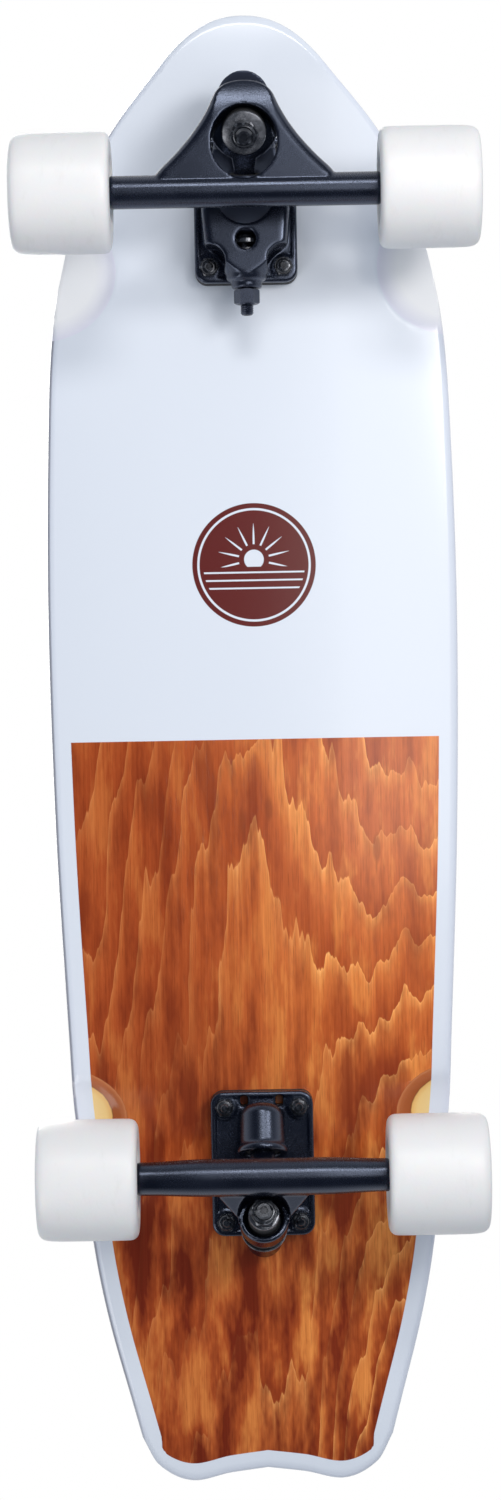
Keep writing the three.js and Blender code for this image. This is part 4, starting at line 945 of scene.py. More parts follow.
def makeDeck():
    shape = boardShape(deckShape["railInset"], 0, board["thickness"], deckShape["railInset"],
                       deckShape["columns"], deckShape["rows"], deckShape["railCuts"])
    for vert in shape.verts:
        share = wellAt(vert.co.x, vert.co.y)
        floor = board["underZ"] + wells["depth"] * math.sqrt(max(share, 0))
        under = board["underZ"] + riseAt(vert.co.x, board["length"] / 2 - vert.co.y)
        limit = min(floor, under + board["thickness"] * deckShape["wellLimitShare"])
        if share > 0 and vert.co.z < limit:
            vert.co.z = limit
    item = objectFrom(shape, "deck_board")
    low, seat = board["underZ"] - overrun, board["underZ"] + board["thickness"]
    hole, head = deckShape["holeRadius"], deckShape["headRadius"]
    top = seat + overrun
    sink = [(0, low), (hole, low), (hole, seat - deckShape["sinkDepth"]), (head, seat), (head, top), (0, top)]
    combine(item, "DIFFERENCE", [spun(sink, spot, upAxis, 24) for spot in deckBolts])
    markDeck(item.data)
    settle(item, sharp=40)
    place(item, ["deck"], "deck_wood", deckFinish)


gripShape = {"inset": 3.0, "start": 11.3, "thickness": 0.84, "bulge": 0.1, "holeRadius": 5.6, "columns": 60,
             "rows": 180}


def makeGripTape():
    top = gripShape["start"] + gripShape["thickness"]
    shape = boardShape(gripShape["inset"], gripShape["start"], top, gripShape["bulge"],
                       gripShape["columns"], gripShape["rows"], 1)
    item = objectFrom(shape, "grip_sheet")
    low = board["underZ"] + board["thickness"] - overrun
    holes = [bar(gripShape["holeRadius"], low, low + 4 * overrun, spot, steps=24) for spot in deckBolts]
    combine(item, "DIFFERENCE", holes)
    settle(item, sharp=40)
    place(item, ["grip_tape"], "grip", gripGrit)


makeDeck()
makeGripTape()
print("deck and grip tape made")


# What both trucks share

trucks = {
    "front": {
        "plateY": board["frontPlateY"], "axleY": 1.5, "wheelX": 72, "ringY": 39.2, "ringZ": -51.1, "lean": 25,
        "side": -1, "pivotY": 8, "pivotZ": -42, "pinRadius": 6, "cupDepth": 12, "cupReach": 5.5,
        "seatFloor": 7.3, "roadBushing": 12.2, "roadBushingEnd": 11.2, "roadWasher": 11.9, "barMiddle": 8.9,
    },
    "rear": {
        "plateY": board["rearPlateY"], "axleY": 0, "wheelX": 67, "ringY": -28, "ringZ": -41, "lean": 22,
        "side": 1, "pivotY": 20, "pivotZ": -22, "pinRadius": 6.8, "cupDepth": 13.5, "cupReach": 1.5,
        "seatFloor": 10.1, "roadBushing": 10.1, "roadBushingEnd": 7, "roadWasher": 8.5, "barMiddle": 10.1,
    },
}

stack = {
    "ringHalf": 4, "bushing": 12, "gap": 0.3, "washer": 1.5, "nut": 7, "nutFlats": 14, "pinEnd": 3,
    "pinRadius": 4.75, "bore": 5.05, "headRadius": 7.5, "headHeight": 4.5, "bushingRadius": 12.2,
    "bushingEnd": 11.2, "bendRoom": 0.9, "boardWasher": 12.7, "ringBore": 7.5, "cupWall": 2.2,
    "cupRoom": 2.8, "bossWall": 1.9,
}

stack["bushingStart"] = stack["ringHalf"] + stack["gap"]
stack["bushingStop"] = stack["bushingStart"] + stack["bushing"]
stack["washerStart"] = stack["bushingStop"] + stack["gap"]
stack["seat"] = stack["washerStart"] + stack["washer"] + stack["gap"]
stack["nutEnd"] = stack["seat"] + stack["nut"]

for truck in trucks.values():
    lean = math.radians(truck["lean"])
    truck["offset"] = Vector((0, truck["plateY"], board["underZ"]))
    truck["axis"] = Vector((0, truck["side"] * math.sin(lean), -math.cos(lean)))
    truck["ring"] = Vector((0, truck["ringY"], truck["ringZ"]))
    steer = Vector((0, truck["pivotY"], truck["pivotZ"])) - truck["ring"]
    truck["pivotDistance"] = steer.length
    truck["steer"] = steer.normalized()
    truck["axle"] = Vector((0, truck["axleY"], -board["axleDrop"]))
    truck["closed"] = truck["pivotDistance"] + truck["cupReach"]


def threaded(radius, start, end, pitch=1.25, depth=0.45):
    # the outline of a threaded end, as (radius, distance) pairs
    points = []
    turns = int(abs(end - start) / pitch)
    step = (end - start) / turns
    for i in range(turns):
        points += [(radius - depth, start + step * i), (radius, start + step * (i + 0.5))]
    points.append((radius - depth, end))
    return points


def hexPiece(name, flats, start, end, origin, direction, bore):
    # a hexagon whose corners are turned off at its ends
    corner, apothem = hexagonCorner(flats), flats / 2
    item = objectFrom(raised(hexagon(flats), start, end, origin, direction), name)
    drop = (corner - apothem) * 0.9 * 0.7
    rim = apothem * 0.99
    turned = [(0, start), (rim, start), (corner, start + drop), (corner, end - drop), (rim, end), (0, end)]
    combine(item, "INTERSECT", [spun(turned, origin, direction)])
    combine(item, "DIFFERENCE", [bar(bore, start - overrun, end + overrun, origin, direction, 32)])
    return item


def nylocNut(name, flats, start, end, origin, direction, bore):
    # a locknut: the hexagon, then its round collar with the nylon ring
    shoulder = start + (end - start) * 0.7
    item = hexPiece(name, flats, start, shoulder, origin, direction, bore)
    reach = flats / 2 * 0.9
    profile = [(bore, shoulder - 0.4), (reach, shoulder - 0.4), (reach, end - 0.8), (reach - 0.5, end - 0.2),
               (reach - 1.0, end), (bore, end)]
    collar = spun(profile, origin, direction, 40)
    return combine(item, "UNION", [collar])


def makeKingpin(prefix):
    truck = trucks[prefix]
    ring, axis, offset = truck["ring"], truck["axis"], truck["offset"]
    radius, head, seat = stack["pinRadius"], stack["headRadius"], stack["seat"]
    headBase = -(seat + truck["seatFloor"] + stack["gap"])
    headTop = headBase - stack["headHeight"]
    tip = stack["nutEnd"] + stack["pinEnd"]
    profile = [(0, headTop), (head - 0.6, headTop), (head, headTop + 0.6), (head, headBase),
               (radius, headBase), (radius, seat - 1)]
    profile += threaded(radius, seat - 0.9, tip - 1.2)
    profile += [(radius - 1.1, tip), (2.1, tip), (1.8, tip - 0.8), (0, tip - 0.8)]
    pin = objectFrom(spun(profile, ring, axis, 40), prefix + "_kingpin_bolt")
    place(settle(pin, offset), [prefix + "_kingpin"], "black_steel", blackSteel)
    name = prefix + "_kingpin_locknut"
    nut = nylocNut(name, stack["nutFlats"], seat, stack["nutEnd"], ring, axis, stack["bore"])
    place(settle(nut, offset, 25), [prefix + "_kingpin_nut"], "black_steel", blackSteel)


def makeBushings(prefix):
    # a rubber and its cup washer on each side of the hanger's ring
    truck = trucks[prefix]
    ring, axis, offset = truck["ring"], truck["axis"], truck["offset"]
    start, stop, bore = stack["bushingStart"], stack["bushingStop"], stack["bore"]
    low, high = stack["washerStart"], stack["washerStart"] + stack["washer"]
    middle = (start + stop) / 2
    sides = [("board", -axis, stack["bushingRadius"], stack["bushingEnd"], stack["boardWasher"]),
             ("road", axis, truck["roadBushing"], truck["roadBushingEnd"], truck["roadWasher"])]
    for side, direction, radius, end, rim in sides:
        waist = (radius + end) / 2
        rubber = spun([
            (bore + stack["bendRoom"], start), (radius - 1.8, start), (radius - 1, start + 0.8),
            (waist, middle - 2), (waist, middle + 1), (end, stop - 1.0), (end - 0.9, stop), (bore, stop)],
            ring, direction, 56)
        node = prefix + "_bushing_" + side
        item = objectFrom(rubber, node + "_soft")
        ends = [(offset + ring + direction * distance) / 1000 for distance in (start, stop)]
        place(settle(item, offset), [node], "bushing_rubber", bushingRubber,
              between=(bodyOf[prefix + "_hanger"], bodyOf[node], *ends))
        cup = spun([
            (bore, low), (rim - 1.3, low), (rim - 1.0, low - 0.3), (rim - 0.9, low - 0.9),
            (rim - 0.2, low - 0.9), (rim, low - 0.6), (rim, high - 1.0), (rim - 0.3, high - 0.3),
            (rim - 1.0, high), (bore, high)],
            ring, direction, 56)
        node = prefix + "_washer_" + side
        place(settle(objectFrom(cup, node + "_cup"), offset, 30), [node], "steel", washerSteel)


boltShape = {"radius": 2.4, "headRadius": 4.7, "headTop": 10.7, "headHeight": 2.8, "nutFlats": 9.5,
             "nutTop": -12.9, "nutHeight": 4.8, "end": 1.4, "slotHalf": 3.2, "slotHalfWidth": 0.45,
             "slotDepth": 1.7}


def makeMountingBolts(prefix):
    radius, head, top = boltShape["radius"], boltShape["headRadius"], boltShape["headTop"]
    nutTop = boltShape["nutTop"]
    low = nutTop - boltShape["nutHeight"]
    tip = low - boltShape["end"]
    profile = [(0, top - 1.6), (1.1, top - 1.5), (1.5, top - 0.1), (head - 0.2, top), (head, top - 0.35),
               (radius, top - boltShape["headHeight"]), (radius, nutTop)]
    profile += threaded(radius, nutTop - 0.1, tip + 0.5, 0.8, 0.25)
    profile += [(radius - 0.7, tip), (0, tip)]
    long, wide = boltShape["slotHalf"], boltShape["slotHalfWidth"]
    slots = [rectangle(long, wide), rectangle(wide, long)]
    for number, spot in enumerate(boltPlaces(), 1):
        item = objectFrom(spun(profile, spot, upAxis, 28), prefix + "_bolt_" + str(number))
        cross = [raised(cut, top - boltShape["slotDepth"], top + 1, spot) for cut in slots]
        combine(item, "DIFFERENCE", cross)
        nut = nylocNut("nut", boltShape["nutFlats"], -nutTop, -low, spot, (0, 0, -1), radius - 0.3)
        joinInto(item, nut)
        settle(item, trucks[prefix]["offset"], 28)
        place(item, [prefix + "_mounting_bolt_" + str(number)], "black_steel", blackSteel)


axleShape = {"radius": 4, "bore": 4.3, "pastWheel": 42, "thread": 9, "bar": 8.9, "barEnd": 7.6,
             "middleHalf": 29, "barPastFace": 7, "stepPastFace": 1.5, "shoulder": 1.3, "chamfer": 0.6}


def barShape(truck):
    # the hanger's round bar, turned down where it enters the wheels
    reach, step = truck["wheelX"] + axleShape["barPastFace"], truck["wheelX"] + axleShape["stepPastFace"]
    fuller = truck["barMiddle"] - axleShape["bar"]
    start = step - axleShape["shoulder"]
    taper = start - axleShape["middleHalf"]
    end, chamfer = axleShape["barEnd"], axleShape["chamfer"]
    side = [(end - chamfer, reach), (end, reach - chamfer), (end, step)]
    for i in range(9):
        share = i / 8
        swell = fuller * (3 * share**2 - 2 * share**3)
        side.append((axleShape["bar"] + swell, start - taper * share))
    profile = [(0, -reach)] + [(r, -d) for r, d in side] + [(r, d) for r, d in reversed(side)] + [(0, reach)]
    return spun(profile, truck["axle"], sideAxis, 64)


def makeAxle(prefix):
    truck = trucks[prefix]
    radius, reach = axleShape["radius"], truck["wheelX"] + axleShape["pastWheel"]
    end = threaded(radius, reach - axleShape["thread"], reach - 0.9, 1.0, 0.35) + [(radius - 1, reach)]
    profile = [(0, -reach)] + [(r, -d) for r, d in reversed(end)] + end + [(0, reach)]
    item = objectFrom(spun(profile, truck["axle"], sideAxis, 36), prefix + "_axle_rod")
    place(settle(item, truck["offset"]), [prefix + "_axle"], "steel", axleSteel)


wheelShape = {"radius": 32.49, "width": 54, "innerRecess": 9, "bearingRadius": 11, "bearingWidth": 7,
              "coreGap": 10, "coreBore": 8.6, "shieldFrom": 6.15, "shieldTo": 9.25, "nutFlats": 13,
              "nutHeight": 6}


def wheelProfile():
    # from the inner bearing's seat round the tread and back through the bore
    r, w, bore = wheelShape["radius"], wheelShape["width"], wheelShape["coreBore"]
    inner, gap = wheelShape["innerRecess"], stack["gap"]
    seat = wheelShape["bearingRadius"] + gap
    firstEnd = inner + wheelShape["bearingWidth"] + gap
    secondStart = firstEnd + wheelShape["coreGap"] - 2 * gap
    secondEnd = secondStart + wheelShape["bearingWidth"] + gap
    innerFace = [(seat, inner), (14.2, 8.7), (15.3, 8.1), (18.6, 3.2), (19.8, 1.0), (20.6, 0.25), (22, 0)]
    innerLip = [(27.4, 0), (28.6, 0.15), (29.7, 0.5), (30.8, 1.2), (31.6, 2.1), (32.1, 3.2), (32.35, 4.6),
                (32.45, 8)]
    tread = [(r, 15), (r, 36), (32.4, 43), (32.2, 47)]
    outerLip = [(31.9, 49.3), (31.4, 51.0), (30.6, 52.3), (29.6, 53.2), (28.2, 53.8), (26.0, w), (22.4, w)]
    outerFace = [(20.9, 53.3), (19.6, 51.2), (16.6, 40.5), (15.4, 37.0), (14.4, secondEnd + 0.8),
                 (13.6, secondEnd + gap), (seat, secondEnd)]
    core = [(seat, secondStart), (bore, secondStart), (bore, firstEnd), (seat, firstEnd)]
    return innerFace + innerLip + tread + outerLip + outerFace + core


def bearingShape(start):
    seat, width, bore = wheelShape["bearingRadius"], wheelShape["bearingWidth"], axleShape["bore"]
    side = [(bore, 0.3), (bore + 0.3, 0), (6.1, 0), (6.2, 0.45), (9.2, 0.6), (9.3, 0), (seat - 0.4, 0),
            (seat, 0.4)]
    return [(r, start + d) for r, d in side] + [(r, start + width - d) for r, d in reversed(side)]


def markShields(item, middle):
    # the black rings between a bearing's races
    for face in item.data.polygons:
        away = face.center - middle
        radius = math.hypot(away.y, away.z) * 1000
        if wheelShape["shieldFrom"] < radius < wheelShape["shieldTo"] and abs(face.normal.x) > 0.8:
            face.material_index = 1


def makeWheel(prefix, name, side):
    truck = trucks[prefix]
    stem = prefix + "_" + name
    origin = truck["axle"] + Vector((side * truck["wheelX"], 0, 0))
    outward = (side, 0, 0)
    tread = objectFrom(spun(wheelProfile(), origin, outward, 96), stem + "_wheel_tread")
    place(settle(tread, truck["offset"], 50), [stem + "_wheel"], "urethane", wheelUrethane)
    first = wheelShape["innerRecess"] + stack["gap"] / 2
    second = first + wheelShape["bearingWidth"] + wheelShape["coreGap"]
    for label, start in (("inner", first), ("outer", second)):
        item = objectFrom(spun(bearingShape(start), origin, outward), stem + "_bearing_" + label + "_race")
        settle(item, truck["offset"], 30)
        place(item, [stem + "_bearing_" + label], "steel", zincSteel, shieldBlack)
        markShields(item, (truck["offset"] + origin) / 1000)
    start = second + wheelShape["bearingWidth"] + stack["gap"]
    nut = nylocNut(stem + "_axle_locknut", wheelShape["nutFlats"], start, start + wheelShape["nutHeight"],
                   origin, outward, axleShape["bore"])
    place(settle(nut, truck["offset"], 25), [stem + "_axle_nut"], "black_steel", blackSteel)


for prefix in trucks:
    makeKingpin(prefix)
    makeBushings(prefix)
    makeMountingBolts(prefix)
    makeAxle(prefix)
    for name, side in (("right", 1), ("left", -1)):
        makeWheel(prefix, name, side)
print("wheels, bolts, kingpins and bushings made")


# Plates

plateShape = {"width": 57, "length": 80, "corner": 7, "top": -6.6, "thickness": 6, "rounding": 1.2,
              "holeRadius": 2.75, "rim": 2.6, "rimDepth": 0.8, "pad": 6.4}

riserShape = {"top": -0.3, "bottom": -6.3, "rounding": 0.5}
plateBottom = plateShape["top"] - plateShape["thickness"]
plateOutline = roundedRectangle(plateShape["width"], plateShape["length"], plateShape["corner"])


def plateBlank(name):
    # a raised rim round the plate and a pad at each bolt
    rim, width, length = plateShape["rim"], plateShape["width"], plateShape["length"]
    shape = raised(plateOutline, plateBottom, plateShape["top"], rounding=plateShape["rounding"])
    item = objectFrom(shape, name)
    sunk = roundedRectangle(width - 2 * rim, length - 2 * rim, plateShape["corner"] - rim)
    combine(item, "DIFFERENCE", [raised(sunk, plateBottom - overrun, plateBottom + plateShape["rimDepth"])])
    pads = [bar(plateShape["pad"], plateBottom, plateBottom + overrun, spot) for spot in boltPlaces()]
    return combine(item, "UNION", pads)


def boltDrills(low):
    return [bar(plateShape["holeRadius"], low, overrun, spot, steps=24) for spot in boltPlaces()]


def seatDrills(truck):
    # the pivot cup's bore, the kingpin's bore and the pocket for its head
    ring, axis = truck["ring"], truck["axis"]
    pocket = stack["seat"] + truck["seatFloor"]
    cup = bar(truck["pinRadius"] + stack["cupRoom"], truck["closed"] - truck["cupDepth"] - overrun,
              truck["closed"] + stack["gap"], ring, truck["steer"])
    bore = bar(stack["bore"], stack["seat"] - overrun, pocket + overrun, ring, -axis, 32)
    head = bar(stack["headRadius"] + stack["gap"], pocket, pocket * 2, ring, -axis)
    return cup, bore, head


def hangerDrills(truck):
    # the ring's bore and the axle's
    return [bar(stack["ringBore"], -8, 32, truck["ring"], truck["axis"]),
            bar(axleShape["bore"], -90, 90, truck["axle"], sideAxis, 32)]


def riserPiece(prefix, openings=()):
    shape = raised(plateOutline, riserShape["bottom"], riserShape["top"], rounding=riserShape["rounding"])
    item = objectFrom(shape, prefix + "_riser_pad")
    combine(item, "DIFFERENCE", boltDrills(-10) + list(openings))
    place(settle(item, trucks[prefix]["offset"], 30), [prefix + "_riser"], "riser_rubber", riserRubber)


# Front truck

housing = {
    "halfWidth": 25, "waistHalf": 22.3, "frontY": 9, "waistY": -24.5, "tailY": -46, "bottom": -38.5,
    "rounding": 3.5, "pocket": 20.2, "floor": 2.5, "mouth": 15.5, "wallEndY": -2, "recess": 9.3,
    "springZ": -27, "springBore": 8, "springEnd": 40.6, "screwBore": 5.1, "tube": 10.5, "tubeEnd": 8.4,
    "tubeStepY": -41.5, "window": 5.5, "windowY": -20, "swivelY": 4, "boss": 16, "bossDrop": 6,
    "bearingBore": 10,
}

springLine = (0, 0, housing["springZ"])


def housingCover():
    # the raised cover, rounded off toward the spring's tube by a dome spun about the spring
    half, tube = housing["halfWidth"], housing["tube"]
    waist = (-housing["waistHalf"], housing["waistY"])
    turn = (waist[0] + 2, waist[1] - 6)
    side = [(-half, housing["frontY"]), waist] + curvePoints(waist, turn, (-tube, housing["tubeStepY"]), 8)
    body = raised(mirrored(side), housing["bottom"], plateBottom + overrun, rounding=housing["rounding"])
    cover = objectFrom(body, "cover")
    dome = [(0, -14), (60, -14), (60, 13), (29, 15), (20, 27), (tube + 1, 38), (tube, 44), (0, 44)]
    return shapeFrom(combine(cover, "INTERSECT", [spun(dome, springLine, tailAxis, 96)]))


def makeFrontBaseplate():
    swivel = (0, housing["swivelY"], 0)
    bottom, half = housing["bottom"], housing["halfWidth"]
    low = bottom - overrun
    wallEnd, front = housing["wallEndY"], housing["frontY"] + overrun
    end, tail = housing["tubeEnd"], -housing["tailY"]
    item = plateBlank("front_baseplate_casting")
    combine(item, "UNION", [
        housingCover(),
        bar(housing["tube"], 20, -housing["tubeStepY"], springLine, tailAxis),
        spun([(0, 30), (end, 30), (end, tail - 0.8), (end - 0.8, tail), (0, tail)], springLine, tailAxis),
    ])
    combine(item, "DIFFERENCE", [
        bar(housing["pocket"], bottom + housing["floor"], plateBottom, swivel, steps=64),
        bar(housing["mouth"], low, plateBottom, swivel, steps=64),
        sideRaised([(wallEnd, plateBottom), (wallEnd, low), (front, low), (front, plateBottom)], half + 1),
    ])
    boss = bar(housing["boss"], plateBottom - housing["bossDrop"], plateBottom + overrun, swivel)
    combine(item, "UNION", [boss])
    tailBolts = [spot for spot in boltPlaces() if spot[1] < 0]
    recesses = [bar(housing["recess"], low, plateBottom, spot) for spot in tailBolts]
    combine(item, "DIFFERENCE", recesses + [
        bar(housing["springBore"], -4, housing["springEnd"], springLine, tailAxis),
        bar(housing["screwBore"], 38, 50, springLine, tailAxis),
        bar(housing["window"], low, housing["springZ"], (0, housing["windowY"], 0)),
        bar(housing["bearingBore"], plateBottom - 8, plateShape["top"] + overrun, swivel),
    ] + boltDrills(-20))
    softened(item, 0.75, 9)
    place(settle(item, trucks["front"]["offset"], 0), ["front_baseplate"], "casting", casting)


arm = {"top": -20.3, "bottom": -35.5, "hub": 19.5, "nose": 14.8, "noseY": 55.7, "noseTopY": 45.5,
       "camFlat": 0.6, "swivelBore": 6.3, "hubWall": 12.3, "tailSlope": 3.6, "cupFloor": 2.2}


def armPlan():
    # two round ends with straight sides between them
    swivelY = housing["swivelY"]
    angle = math.degrees(math.asin((arm["hub"] - arm["nose"]) / (arm["noseY"] - swivelY)))
    nose = arc(0, arm["noseY"], arm["nose"], angle, 180 - angle, 18)
    return nose + arc(0, swivelY, arm["hub"], 180 - angle, 360 + angle, 30)


def armSide(truck):
    # a level top that drops at the nose, and a floor that rises square to the kingpin
    slope = math.tan(math.radians(truck["lean"]))
    seat = truck["ring"] - truck["axis"] * stack["seat"]

    def seatLine(y):
        return y, seat.z - (y - seat.y) * slope

    top, bottom, noseTopY = arm["top"], arm["bottom"], arm["noseTopY"]
    tail = housing["swivelY"] - arm["hub"] - overrun
    reach = arm["noseY"] + arm["nose"]
    rise = noseTopY - stack["bushingRadius"]
    points = [(tail, top), (noseTopY, top), (reach + overrun, top - (reach - noseTopY) * slope),
              seatLine(reach + overrun), seatLine(rise), (rise - arm["tailSlope"], bottom), (tail, bottom)]
    return sideRaised(points, arm["hub"] + overrun)


def makeSwingArm():
    truck = trucks["front"]
    swivelY, closed = housing["swivelY"], truck["closed"]
    item = objectFrom(raised(armPlan(), arm["bottom"] * 2, arm["top"] + overrun), "front_swing_arm_casting")
    combine(item, "INTERSECT", [armSide(truck)])
    boss = truck["pinRadius"] + stack["gap"] + stack["cupWall"] + stack["gap"] + stack["bossWall"]
    combine(item, "UNION", [
        bar(boss, closed - truck["cupDepth"], closed + arm["cupFloor"], truck["ring"], truck["steer"])])
    camY = swivelY - arm["hub"] + arm["camFlat"]
    cup, bore, head = seatDrills(truck)
    combine(item, "DIFFERENCE", [
        cup,
        sideRaised([(camY, -5), (camY - 20, -5), (camY - 20, -60), (camY, -60)], 30),
        bar(arm["swivelBore"], arm["top"] - arm["hubWall"], arm["top"] + overrun, (0, swivelY, 0)),
        bore,
        head,
    ])
    softened(item, 0.7, 4)
    place(settle(item, truck["offset"], 0), ["front_swing_arm"], "casting", armCoatPaintedLight)


legs = {
    "half": 49, "midHalf": 26, "midY": 30, "noseHalf": 17.2, "noseShoulder": 13.6, "noseY": 60.5,
    "noseRound": 10, "top": -57.5, "bottom": -71.5, "noseTop": -60, "noseBottom": -66, "ring": 18.5,
    "skirt": 12, "skirtBore": 12.9, "cavityY": 27, "cavityX": 18, "cavityLength": 19.9, "rounding": 5.2,
}


def pinShape(truck):
    # the pin that reaches into the pivot cup
    tip = truck["closed"] - 2.5
    radius = truck["pinRadius"]
    root = stack["bushingRadius"] + 0.9
    profile = [(0, root), (radius + 1.5, root), (radius, tip - truck["cupDepth"]), (radius, tip - radius / 2),
               (radius * 0.87, tip - radius / 4), (radius / 2, tip), (0, tip)]
    return spun(profile, truck["ring"], truck["steer"], 40)


def legsPlan(tailY, barY):
    # the A of the two legs, from the bar to the round nose
    half, noseHalf, noseY = legs["half"], legs["noseHalf"], legs["noseY"]
    hip, waist = (half, barY), (legs["midHalf"], legs["midY"])
    shoulder = (noseHalf, noseY - legs["noseRound"])
    side = [(half, tailY), hip] + curvePoints(hip, waist, shoulder, 12)
    side += curvePoints(shoulder, (legs["noseShoulder"], noseY), (0, noseY), 10)
    return side + [(-x, y) for x, y in reversed(side[:-1])]


def legsSide(truck, tailY, barY):
    # a level top, and a belly that rises toward the nose
    top, bottom, noseY = legs["top"] + 1, legs["bottom"], legs["noseY"]
    belly = bottom - 0.1
    points = [(tailY - 1, top), (truck["ringY"], top), (noseY + 2, legs["noseTop"])]
    points += curvePoints((noseY + 2, legs["noseBottom"]), (noseY - 8, bottom + 0.2), (noseY - 24, belly), 10)
    points += [(barY, belly), (tailY, bottom + 2), (tailY - 1, bottom + 2)]
    return sideRaised(points, legs["half"] + overrun)


def legsCavity(truck):
    # the oval well round the bushing, level with the ring at its floor
    plan = oval(legs["cavityX"], legs["cavityLength"], legs["cavityY"])
    well = raised(plan, -90, truck["ringZ"] + legs["ring"])
    floor = bar(64, stack["ringHalf"], 64, truck["ring"], truck["axis"])
    return shapeFrom(combine(objectFrom(well, "hollow"), "INTERSECT", [floor]))


def makeFrontHanger():
    truck = trucks["front"]
    ring, axis = truck["ring"], truck["axis"]
    tailY = truck["axleY"] - axleShape["bar"] / 2
    barY = truck["axleY"] + axleShape["bar"]
    rim, skirt, half = legs["ring"], legs["skirt"], stack["ringHalf"]
    skirtProfile = [(0, -half), (rim - 1, -half), (rim, 1 - half), (rim, skirt - 1.5), (rim - 1.5, skirt),
                    (0, skirt)]
    item = objectFrom(raised(legsPlan(tailY, barY), legs["bottom"], legs["top"], rounding=legs["rounding"]),
                      "front_hanger_casting")
    combine(item, "INTERSECT", [legsSide(truck, tailY, barY)])
    combine(item, "UNION", [
        barShape(truck),
        spun(skirtProfile, ring, axis, 64),
        pinShape(truck),
    ])
    combine(item, "DIFFERENCE", [
        legsCavity(truck),
        bar(legs["skirtBore"], half, skirt + overrun, ring, axis, 64),
    ] + hangerDrills(truck))
    softened(item, 0.7, 5)
    place(settle(item, truck["offset"], 0), ["front_hanger"], "casting", casting)


adjuster = {"radius": 4.8, "endRadius": 3.6, "endLength": 6, "nutFlats": 12.2, "nutHeight": 8,
            "flange": 7.5, "flangeStart": 38.3, "flangeEnd": 40.3, "key": 4, "keyDepth": 2.5}
spring = {"radius": 5.6, "wire": 2, "turns": 5, "start": -22.3, "end": -37, "stepsPerTurn": 28}
plunger = {"tip": 2.5, "shoulder": 4.2, "radius": 5, "flange": 7.5, "flangeStart": 19.0, "end": 21}


def makeSpringCoil():
    curve = bpy.data.curves.new("coil", "CURVE")
    curve.dimensions = "3D"
    curve.bevel_depth = spring["wire"] / 2
    curve.bevel_resolution = 5
    curve.use_fill_caps = True
    steps = spring["turns"] * spring["stepsPerTurn"]
    radius, axisZ = spring["radius"], housing["springZ"]
    wire = curve.splines.new("POLY")
    wire.points.add(steps)
    for i, point in enumerate(wire.points):
        turn = 2 * math.pi * spring["turns"] * i / steps
        y = spring["start"] + (spring["end"] - spring["start"]) * i / steps
        point.co = (radius * math.cos(turn), y, axisZ + radius * math.sin(turn), 1)
    coil = bpy.data.objects.new("coil", curve)
    bpy.context.scene.collection.objects.link(coil)
    bpy.context.view_layer.update()
    mesh = bpy.data.meshes.new_from_object(coil.evaluated_get(bpy.context.evaluated_depsgraph_get()))
    bpy.data.objects.remove(coil)
    item = bpy.data.objects.new("front_spring_coil", mesh)
    bpy.context.scene.collection.objects.link(item)
    place(settle(item, trucks["front"]["offset"]), ["front_centring_spring"], "steel", washerSteel)


def makePlunger():
    face = arm["hub"] - housing["swivelY"] + stack["gap"]
    radius, flange, step = plunger["radius"], plunger["flange"], plunger["flangeStart"]
    profile = [(0, face), (plunger["tip"], face), (plunger["shoulder"], face + 0.9), (radius, face + 2.5),
               (radius, step), (flange, step), (flange, plunger["end"]), (0, plunger["end"])]
    item = objectFrom(spun(profile, springLine, tailAxis, 40), "front_plunger_pin")
    place(settle(item, trucks["front"]["offset"], 30), ["front_spring_plunger"], "steel", blackSteel)


def makeAdjuster():
    offset = trucks["front"]["offset"]
    radius, endRadius, flange = adjuster["radius"], adjuster["endRadius"], adjuster["flange"]
    low, high = adjuster["flangeStart"], adjuster["flangeEnd"]
    nutStart = -housing["tailY"] + stack["gap"]
    nutEnd = nutStart + adjuster["nutHeight"]
    tip = nutEnd + adjuster["endLength"]
    screw = [(0, low), (flange, low), (flange, high), (radius, high)]
    screw += threaded(radius, high + 0.1, nutEnd + 0.4, 1.25, 0.4)
    screw += threaded(endRadius, nutEnd + 0.9, tip - 0.6, 1.0, 0.35)
    screw += [(endRadius - 0.8, tip), (0, tip)]
    item = objectFrom(spun(screw, springLine, tailAxis, 36), "front_adjuster_screw")
    key = raised(hexagon(adjuster["key"]), tip - adjuster["keyDepth"], tip + 1, springLine, tailAxis)
    combine(item, "DIFFERENCE", [key])
    place(settle(item, offset, 28), ["front_spring_adjuster"], "black_steel", casting)
    nut = hexPiece("front_adjuster_locknut", adjuster["nutFlats"], nutStart, nutEnd, springLine, tailAxis,
                   housing["screwBore"])
    place(settle(nut, offset, 28), ["front_spring_locknut"], "black_steel", casting)


# Rear truck

rearPlate = {"housing": 12.5, "lip": 1.5, "lipLength": 3, "length": 28, "boss": 10.4, "windowX": 9.8,
             "windowY": 35, "windowWidth": 4.2, "windowLength": 6, "windowCorner": 0.8}


def rearWindows(low):
    # the two openings beside the pivot housing, through which the deck shows
    opening = roundedRectangle(rearPlate["windowWidth"], rearPlate["windowLength"], rearPlate["windowCorner"])
    spots = [(side * rearPlate["windowX"], rearPlate["windowY"], 0) for side in (-1, 1)]
    return [raised(opening, low, overrun, spot) for spot in spots]


